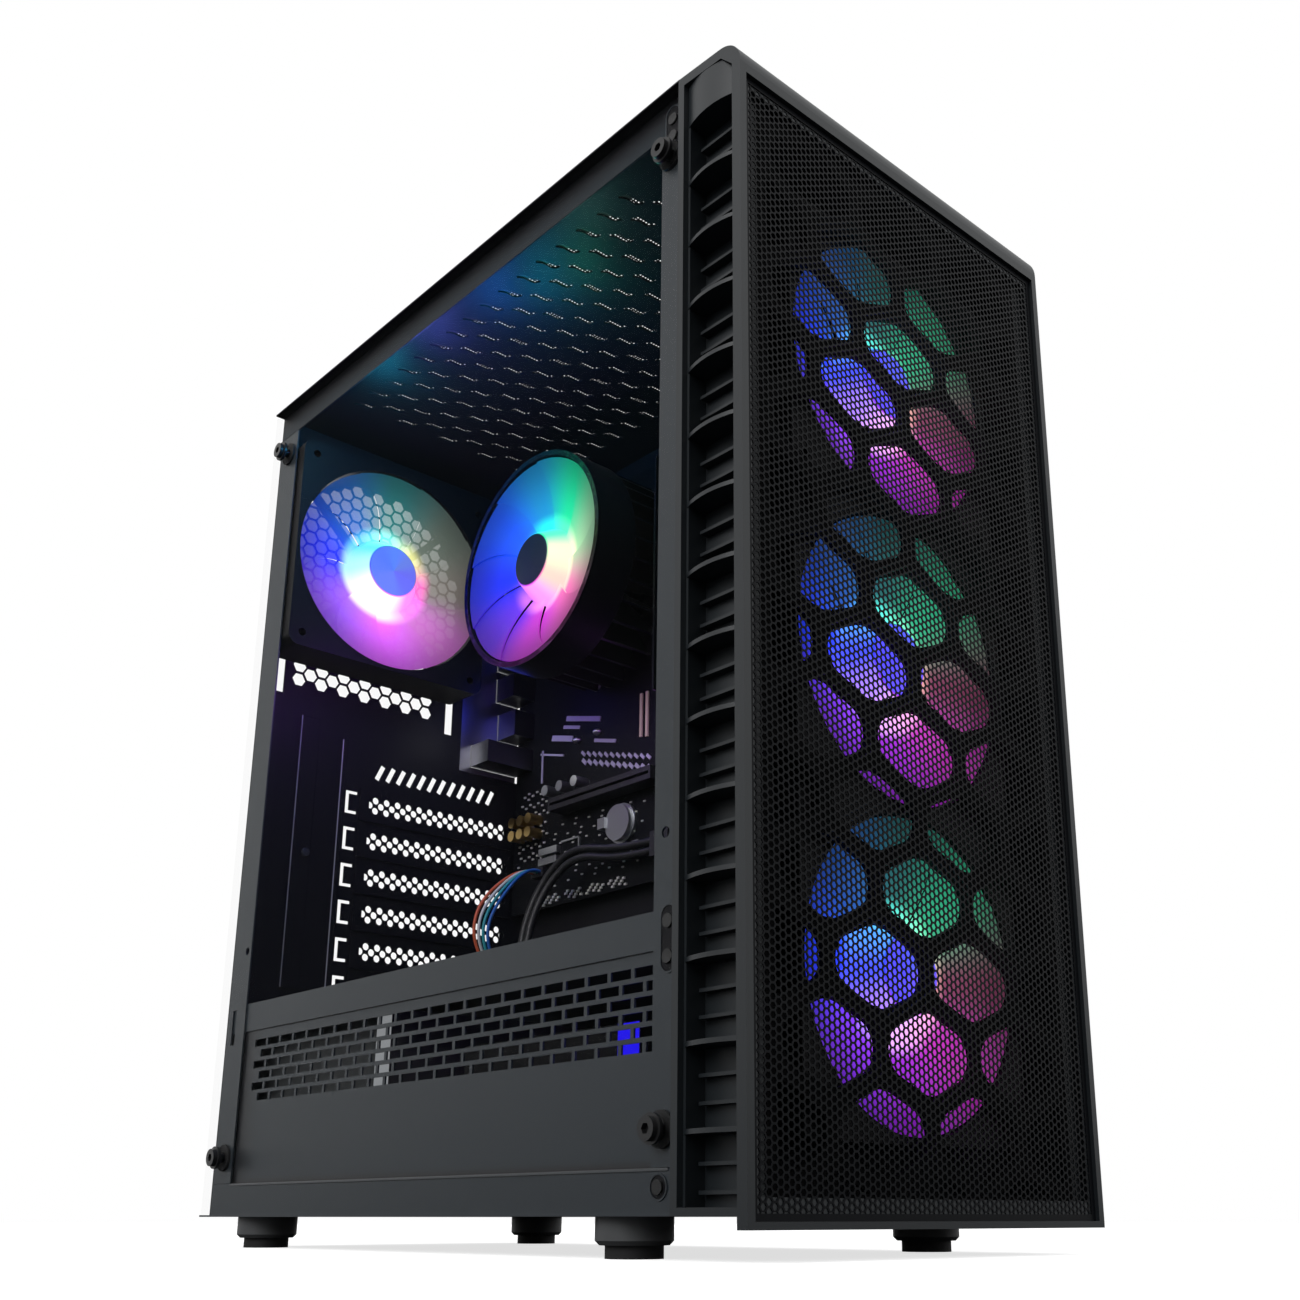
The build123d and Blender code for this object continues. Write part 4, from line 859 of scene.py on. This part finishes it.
screw_radius = 0.0030
screw_flatness = 0.6
screw_spots = [(0.0591, 0.0938), (0.0773, 0.0944), (0.0762, 0.1219)]
clear_bench()
bpy.ops.mesh.primitive_uv_sphere_add(segments=20, ring_count=10, radius=screw_radius, rotation=along_x)
bpy.context.object.scale = (screw_flatness, 1, 1)
screw_head = settle("screw_head")
screw_places = [(board_low.x, board_high.y - back, board_low.z + up) for back, up in screw_spots]
board_group("board_screws", stamp(screw_head, screw_places), plated)
brass_from = board_high.y - 0.032
repaint(nodes["capacitors"].data, brass, lambda face: face.center.y > brass_from)


# Power supply and drive: a grey coated steel box with its inlet and switch, and a cast drive in the cage.
# The cage and the box stand behind the shroud's brick slots, and their front edges carry glowing strips of
# painted light.
supply_grey = (0.075, 0.08, 0.084)
supply_paint = powder_coat("supply_paint", supply_grey, 0.45, 0.1)
inlet_black = plain_finish("inlet_black", (0.012, 0.012, 0.012), 0.4)
paint(supply_paint, "psu_case")
paint(inlet_black, "psu_inlet", "psu_switch")
paint(plated, "hard_drive")
painted_light_reach = 0.012
lit_skin = 0.001
no_glow = (0.0, 0.0, 0.0, 1.0)


def painted_light_edge(node, name, colour, coat_colour):
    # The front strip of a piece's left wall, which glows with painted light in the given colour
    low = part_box(node)[0]
    coat = powder_coat(name, coat_colour, 0.5, 0.1, 0.1)
    tree = coat.node_tree
    near = work_out(tree, "LESS_THAN", place_along(tree, "Y"), low.y + painted_light_reach)
    feed(shader_of(coat), "Emission Color", mix_colours(tree, near, no_glow, (*colour, 1.0)))
    feed(shader_of(coat), "Emission Strength", 1.0)
    wall_x = low.x + lit_skin
    repaint(nodes[node].data, coat, lambda face: face.normal.x < -0.9 and face.center.x < wall_x)


painted_light_edge("drive_cage", "cage_painted_light", (0.012, 0.004, 0.8), inside_black_and_shade)
painted_light_edge("psu_case", "supply_painted_light", (0.22, 0.23, 0.24), supply_grey)


# Leads: four thin coloured wires and two thicker black cables, from plugs near the board's lower edge.
# Each hangs in a soft curve, drops through the shroud's opening and leaves by the cable slot in the tray.
tray_low, tray_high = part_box("motherboard_tray")
hole_x = tray_low.x - 0.038
lead_end_x = tray_low.x + 0.003
lead_end_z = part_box("psu_case")[1].z + 0.006
wire_x = board_low.x - 0.0085
wire_y = tray_high.y - 0.0366
wire_z = board_low.z + 0.019
wire_radius = 0.0009
wire_pitch = 0.0022
wire_splay = 0.0016
wire_hues = {"blue": (0.02, 0.12, 0.4), "teal": (0.03, 0.3, 0.32),
             "white": (0.6, 0.6, 0.58), "red": (0.6, 0.12, 0.05)}
cable_x = board_low.x - 0.0065
cable_y = wire_y - 0.0178
cable_z = board_low.z + 0.014
cable_plug_y = board_high.y - 0.135
cable_radius = 0.0022
cable_runs = [("inner_cable", 0.0, 0.1939), ("outer_cable", 0.0052, 0.2019)]


def lead(name, points, radius, material):
    # A cord along the route's points, which are the control points of a smooth line
    bpy.ops.curve.primitive_nurbs_path_add(location=(0, 0, 0))
    cord = bpy.context.object
    cord.name = name
    spline = cord.data.splines[0]
    spline.points.add(len(points) - len(spline.points))
    for knot, place in zip(spline.points, points):
        knot.co = (*place, 1)
    spline.order_u = 3
    spline.use_endpoint_u = True
    spline.resolution_u = 12
    cord.data.bevel_depth = radius
    cord.data.bevel_resolution = 3
    cord.data.use_fill_caps = True
    cord.data.materials.append(material)
    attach(cord, "chassis")
    return cord


for step, (hue, colour) in enumerate(wire_hues.items()):
    y = wire_y + (step - 1.5) * wire_pitch
    splay = (step - 1.5) * wire_splay
    route = [(wire_x, y, wire_z), (wire_x - 0.009, y, wire_z + 0.002)]
    route.append((hole_x - 0.011 - splay, y, wire_z - 0.022 + splay))
    route += [(hole_x - 0.016 - splay, y, wire_z - 0.042), (hole_x - 0.004, y, wire_z - 0.062)]
    route += [(hole_x, y, lead_end_z), (lead_end_x, y, lead_end_z)]
    sleeve = plain_finish(f"{hue}_sleeve", colour, 0.4)
    lead(f"{hue}_wire", route, wire_radius, sleeve)
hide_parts("front_wires")
for name, out, length in cable_runs:
    y = cable_y + out
    z = cable_z + out
    route = [(cable_x, cable_plug_y, z), (cable_x, cable_plug_y + 0.028, z)]
    route.append((cable_x - 0.006, cable_plug_y + 0.058 + 0.45 * out, z + 0.007))
    route.append((cable_x - 0.011, cable_y - 0.007 + 0.8 * out, cable_z - 0.006 + 0.65 * out))
    route.append((cable_x - 0.017, y, cable_z - 0.026 + 0.2 * out))
    route += [(hole_x + 0.0024, y, cable_z - 0.0495), (hole_x + 0.0014, y, lead_end_z)]
    route.append((lead_end_x, y, lead_end_z))
    lead(name, route, cable_radius, inlet_black)
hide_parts("black_cables")


# Screws: turned black steel, driven into the frame and the rear panel.
# The thumbscrews have knurled heads; four hold the glass through its bushes and two the right panel.
screw_black = plain_finish("screw_black", (0.016, 0.016, 0.017), 0.35)
paint(screw_black, "frame_screws", "rear_screws", "glass_thumbscrews", "panel_thumbscrews")


# Bezel: a hollow dark grey moulding that clips on the front steel, with a louvre pressed into each side.
# The buttons and ports sit in its sloped top, and the front mesh in its face.
bezel_plastic = powder_coat("bezel_plastic", (0.012, 0.0155, 0.0185), 0.42, 0.08, 0.36)
paint(bezel_plastic, "front_bezel", "left_louvre", "right_louvre", "power_button", "reset_button")


# Honeycomb guard: a black plastic lattice of wide rounded cells behind the mesh.
# It is moulded flat in one piece, fixed inside the bezel and comes off with it.
guard_low, guard_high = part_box("honeycomb_guard")
guard_border = 0.004
guard_margin = 0.004
cell_pitch = 0.0514
cell_row = 0.0279
cell_half_width = 0.0227
cell_side = 0.0062
cell_tip = 0.0157
cell_round = 0.0055
cell_rows = range(-3, 13)
cell_columns = range(-2, 3)
cell_first_z = middle_of("front_fan_1_frame").z - 0.0013
guard = flat_block("honeycomb_lattice", guard_low, guard_high)
clear_bench()
bpy.ops.mesh.primitive_circle_add(vertices=6, radius=1, fill_type="NGON", location=(0, 0, 0))
cell_tool = bpy.context.object
cell_tool.name = "cell_tool"
cell_outline = [(-cell_half_width, -cell_side), (0, -cell_tip), (cell_half_width, -cell_side)]
cell_outline += [(cell_half_width, cell_side), (0, cell_tip), (-cell_half_width, cell_side)]
for corner, spot in zip(cell_tool.data.vertices, cell_outline):
    corner.co = (spot[0], guard_high.y + guard_margin, spot[1])
open_mesh()
bpy.ops.mesh.bevel(offset=cell_round, segments=4, affect="VERTICES", offset_type="OFFSET")
pull_out((0, guard_low.y - guard_high.y - 2 * guard_margin, 0))
cell_places = []
for row in cell_rows:
    for column in cell_columns:
        shift = 0.0 if row % 2 else 0.5
        cell_places.append((middle_x + (column + shift) * cell_pitch, 0, cell_first_z + row * cell_row))
cells = merge(stamp(cell_tool, cell_places))
low = guard_low + Vector((guard_border, -cut_margin, guard_border))
high = guard_high + Vector((-guard_border, cut_margin, -guard_border))
punch(cells, flat_block("guard_window", low, high), "INTERSECT")
punch(guard, cells)
guard_black = plain_finish("guard_black", (0.003, 0.003, 0.0035), 0.6, 0.04)
guard.data.materials.append(guard_black)
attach(guard, "front_cover")
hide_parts("honeycomb_guard")


# Front mesh: thin steel sheet punched all over with small hexagons, painted black and set into the bezel.
# It is modelled as two halves that meet along one row of holes, with a plain rim round the edge.
mesh_low, mesh_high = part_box("front_mesh")
hole_pitch = 0.00288
hole_step = hole_pitch * math.sqrt(3) / 2
cell_radius = hole_pitch / math.sqrt(3)
wire_half = 0.00036
mesh_sheet = 0.0004
mesh_rim = 0.0022
weld_reach = 0.00002
open_low = Vector((mesh_low.x + mesh_rim, mesh_low.y - cut_margin, mesh_low.z + mesh_rim))
open_high = Vector((mesh_high.x - mesh_rim, mesh_high.y + cut_margin, mesh_high.z - mesh_rim))
pair_count = int((open_high.x - open_low.x) / (2 * hole_step)) + 1
row_count = int((open_high.z - open_low.z) / hole_pitch / 2) + 1
lattice_low_x = middle_x - (pair_count * 2 - 1) * hole_step / 2
lattice_low_z = (open_low.z + open_high.z) / 2 - (row_count * 2 - 0.5) * hole_pitch / 2
mesh_y = mesh_low.y + mesh_sheet
mesh_paint = powder_coat("mesh_paint", (0.006, 0.0068, 0.0085), 0.32, 0.0, 0.07)


def hex_cell(name, spot_x, spot_z):
    # One hexagon of sheet with its hole
    clear_bench()
    bpy.ops.mesh.primitive_circle_add(vertices=6, radius=cell_radius, fill_type="NGON",
                                      location=(spot_x, mesh_y, spot_z), rotation=hex_turn)
    open_mesh()
    bpy.ops.mesh.inset(thickness=wire_half)
    bpy.ops.mesh.delete(type="FACE")
    bpy.ops.object.mode_set(mode="OBJECT")
    return settle(name)


def repeat(piece, count, shift):
    # A run of copies, each one step further on
    run = piece.modifiers.new("run", "ARRAY")
    run.use_relative_offset = False
    run.use_constant_offset = True
    run.constant_offset_displace = shift
    run.count = count
    apply_modifier(piece, run)


for half, half_name in enumerate(("front_mesh_lower", "front_mesh_upper")):
    start_z = lattice_low_z + half * row_count * hole_pitch
    first = hex_cell(half_name, lattice_low_x, start_z)
    second = hex_cell("second_cell", lattice_low_x + hole_step, start_z + hole_pitch / 2)
    lattice = merge([first, second])
    repeat(lattice, pair_count, (2 * hole_step, 0, 0))
    repeat(lattice, row_count, (0, 0, hole_pitch))
    open_mesh()
    bpy.ops.mesh.remove_doubles(threshold=weld_reach)
    bpy.ops.mesh.normals_make_consistent(inside=False)
    bpy.ops.object.mode_set(mode="OBJECT")
    thicken(lattice, mesh_sheet)
    lattice.data.materials.append(mesh_paint)
    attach(lattice, "front_cover")
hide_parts("front_mesh")
rim = flat_block("front_mesh_rim", mesh_low, mesh_high)
punch(rim, flat_block("rim_window", open_low, open_high))
rim.data.materials.append(mesh_paint)
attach(rim, "front_cover")


# Glass side: one clear toughened sheet, ground at its edges and drilled at its corners.
# It rests on rubber bushes and is held by the four thumbscrews.
clear_glass = plain_finish("clear_glass", (0.02, 0.025, 0.025), 0.02, 0.1)
feed(shader_of(clear_glass), "Alpha", 0.025)
paint(clear_glass, "glass_panel")


# Dust filter: a soft magnetic frame round a woven black net, laid on the roof and lifted off to clean.
# Daylight sparkles through the weave of the net wherever it crosses the roof's slots.
filter_low, filter_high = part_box("top_dust_filter")
filter_border = 0.008
filter_margin = 0.001
filter_dark = (0.012, 0.012, 0.012)
net_thick = 0.00015
net_pitch = 0.0016
net_thread = 0.25
net_tuck = 0.0005
net_lift = 0.0002
filter_black = plain_finish("filter_black", filter_dark, 0.6)
filter_frame = flat_block("filter_frame", filter_low, filter_high)
window_low = filter_low + Vector((filter_border, filter_border, -filter_margin))
window_high = filter_high + Vector((-filter_border, -filter_border, filter_margin))
punch(filter_frame, flat_block("filter_window", window_low, window_high))
filter_frame.data.materials.append(filter_black)
net_z = filter_low.z + net_lift
net_low = (window_low.x - net_tuck, window_low.y - net_tuck, net_z)
net_high = (window_high.x + net_tuck, window_high.y + net_tuck, net_z + net_thick)
filter_net = flat_block("filter_net", net_low, net_high)
net_threads = plain_finish("net_threads", filter_dark, 0.7, 0.1)
net_tree = net_threads.node_tree
net_place = add_node(net_tree, "TexCoord", {}).outputs["Object"]
net_flat = add_node(net_tree, "Mapping", {"Vector": net_place, "Scale": (1.0, 1.0, 0.0)}).outputs["Vector"]
net_inputs = {"Vector": net_flat, "Scale": 1 / net_pitch, "Mortar Size": net_thread, "Mortar Smooth": 0.0,
              "Brick Width": 1.0, "Row Height": 1.0}
net_weave = add_node(net_tree, "TexBrick", net_inputs, offset=0.0)
feed(shader_of(net_threads), "Alpha", net_weave.outputs["Fac"])
filter_net.data.materials.append(net_threads)
for piece in (filter_frame, filter_net):
    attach(piece, "dust_filter")
    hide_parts("top_dust_filter")


# Studio: a white floor and a white sky, as of a paper sweep, which the camera and the gloss see.
# The object itself is lit by a dimmer sky, three large soft lamps and the small lamps of its fans.
white = (1.0, 1.0, 1.0, 1.0)
floor_size = 12
floor_shown = (0.9, 0.9, 0.9, 1.0)
floor_bounce = (0.12, 0.12, 0.12, 1.0)
floor_lift = 0.72
sky_light = 0.3
lamp_aim = Vector((0, 0, 0.22))
fan_lamp_radius = 0.012
clear_bench()
bpy.ops.mesh.primitive_plane_add(size=floor_size, location=(0, 0, 0))
floor = bpy.context.object
floor.name = "studio_floor"
floor_white = plain_finish("floor_white", white[:3], 0.9, 0.0)
floor_tree = floor_white.node_tree
floor_shader = shader_of(floor_white)
floor_seen = add_node(floor_tree, "LightPath", {}).outputs["Is Camera Ray"]
feed(floor_shader, "Base Color", mix_colours(floor_tree, floor_seen, floor_bounce, floor_shown))
feed(floor_shader, "Emission Color", white)
feed(floor_shader, "Emission Strength", work_out(floor_tree, "MULTIPLY", floor_seen, floor_lift))
floor.data.materials.append(floor_white)
sky = bpy.data.worlds.new("studio_sky")
bpy.context.scene.world = sky
sky.use_nodes = True
sky_tree = sky.node_tree
shown = sky_tree.nodes["Background"]
feed(shown, "Color", white)
feed(shown, "Strength", 1.0)
lighting = add_node(sky_tree, "Background", {"Color": white, "Strength": sky_light})
rays = add_node(sky_tree, "LightPath", {}).outputs
seen = work_out(sky_tree, "MAXIMUM", rays["Is Camera Ray"], rays["Is Glossy Ray"])
seen = work_out(sky_tree, "MAXIMUM", seen, rays["Is Transmission Ray"])
backdrops = {"Fac": seen, 1: lighting.outputs["Background"], 2: shown.outputs["Background"]}
choose = add_node(sky_tree, "MixShader", backdrops)
feed(sky_tree.nodes["World Output"], "Surface", choose.outputs["Shader"])


def hang_lamp(name, kind, place, power):
    # A lamp in its place, not yet aimed or coloured
    lamp = bpy.data.lights.new(name, kind)
    lamp.energy = power
    holder = bpy.data.objects.new(name, lamp)
    holder.location = place
    bpy.context.collection.objects.link(holder)
    return holder


def soft_lamp(name, place, size, power):
    # A round softbox aimed at the middle of the tower
    holder = hang_lamp(name, "AREA", place, power)
    holder.data.shape = "DISK"
    holder.data.size = size
    holder.rotation_euler = (lamp_aim - Vector(place)).to_track_quat("-Z", "Y").to_euler()


def fan_lamp(name, place, colour, power):
    # A small coloured lamp that stands for the light a fan throws on the case
    holder = hang_lamp(name, "POINT", place, power)
    holder.data.color = colour
    holder.data.shadow_soft_size = fan_lamp_radius


soft_lamp("left_softbox", (-1.8, -0.3, 1.2), 1.4, 20.0)
soft_lamp("front_softbox", (0.2, -2.0, 1.0), 1.2, 8.0)
soft_lamp("rear_softbox", (1.5, 1.7, 1.3), 1.6, 16.0)
roof_lamp_x = roof_low.x + 0.020
roof_lamp_z = roof_low.z - 0.016
fan_lamp("roof_teal", (roof_lamp_x, 0.100, roof_lamp_z + 0.003), (0.01, 0.55, 0.85), 0.10)
fan_lamp("roof_violet", (roof_lamp_x, 0.054, roof_lamp_z), (0.14, 0.18, 1.0), 0.14)
fan_lamp("roof_blue", (roof_lamp_x + 0.006, 0.010, roof_lamp_z), (0.02, 0.22, 1.0), 0.13)
fan_lamp("roof_cyan", (roof_lamp_x + 0.018, -0.012, roof_lamp_z), (0.0, 0.60, 0.90), 0.07)
fan_lamp("roof_green", (roof_lamp_x + 0.026, -0.034, roof_lamp_z), (0.06, 0.9, 0.5), 0.04)
fan_lamp("roof_pale", (roof_lamp_x, -0.070, roof_lamp_z), (0.35, 0.9, 0.75), 0.022)
board_spot = (ring_low.x + 0.045, ring_middle.y - 0.040, ring_low.z - 0.030)
fan_lamp("board_violet", board_spot, (0.6, 0.2, 1.0), 0.012)
port_spot = (ring_low.x + 0.03, ring_middle.y + 0.06, ring_low.z + 0.01)
fan_lamp("port_blue", port_spot, (0.03, 0.05, 1.0), 0.012)
shield_spot = (shield_low.x - 0.012, shield_low.y - 0.024, shield_low.z + 0.018)
fan_lamp("shield_white", shield_spot, (1.0, 1.0, 0.95), 0.012)
rear_spot = (fan_x - 0.03, fan_low.y - 0.03, fan_low.z - 0.01)
fan_lamp("rear_violet", rear_spot, (0.4, 0.1, 1.0), 0.08)


# Camera: placed and shifted as the photograph was taken, close to the floor and looking up.
# Its place, turn and lens come from the standard slot pitch and fan size, fitted to the picture.
camera_place = Vector((-0.40105, -0.31279, 0.01309)) + Vector((middle_x, front_y, 0))
camera_yaw = math.radians(46.926)
camera_pitch = math.radians(16.336)
image_size = 1300
focal_pixels = 1436.4
centre_across = 712.5
centre_down = 796.8
film_width = 36.0
lens = bpy.data.cameras.new("photo_camera")
lens.sensor_width = film_width
lens.lens = film_width * focal_pixels / image_size
lens.shift_x = (image_size / 2 - centre_across) / image_size
lens.shift_y = (centre_down - image_size / 2) / image_size
lens.clip_start = 0.01
camera = bpy.data.objects.new("photo_camera", lens)
camera.location = camera_place
level_way = math.cos(camera_pitch)
look = Vector((math.cos(camera_yaw) * level_way, math.sin(camera_yaw) * level_way, math.sin(camera_pitch)))
camera.rotation_euler = look.to_track_quat("-Z", "Y").to_euler()
bpy.context.collection.objects.link(camera)
bpy.context.scene.camera = camera
bpy.context.scene.view_settings.view_transform = "Standard"
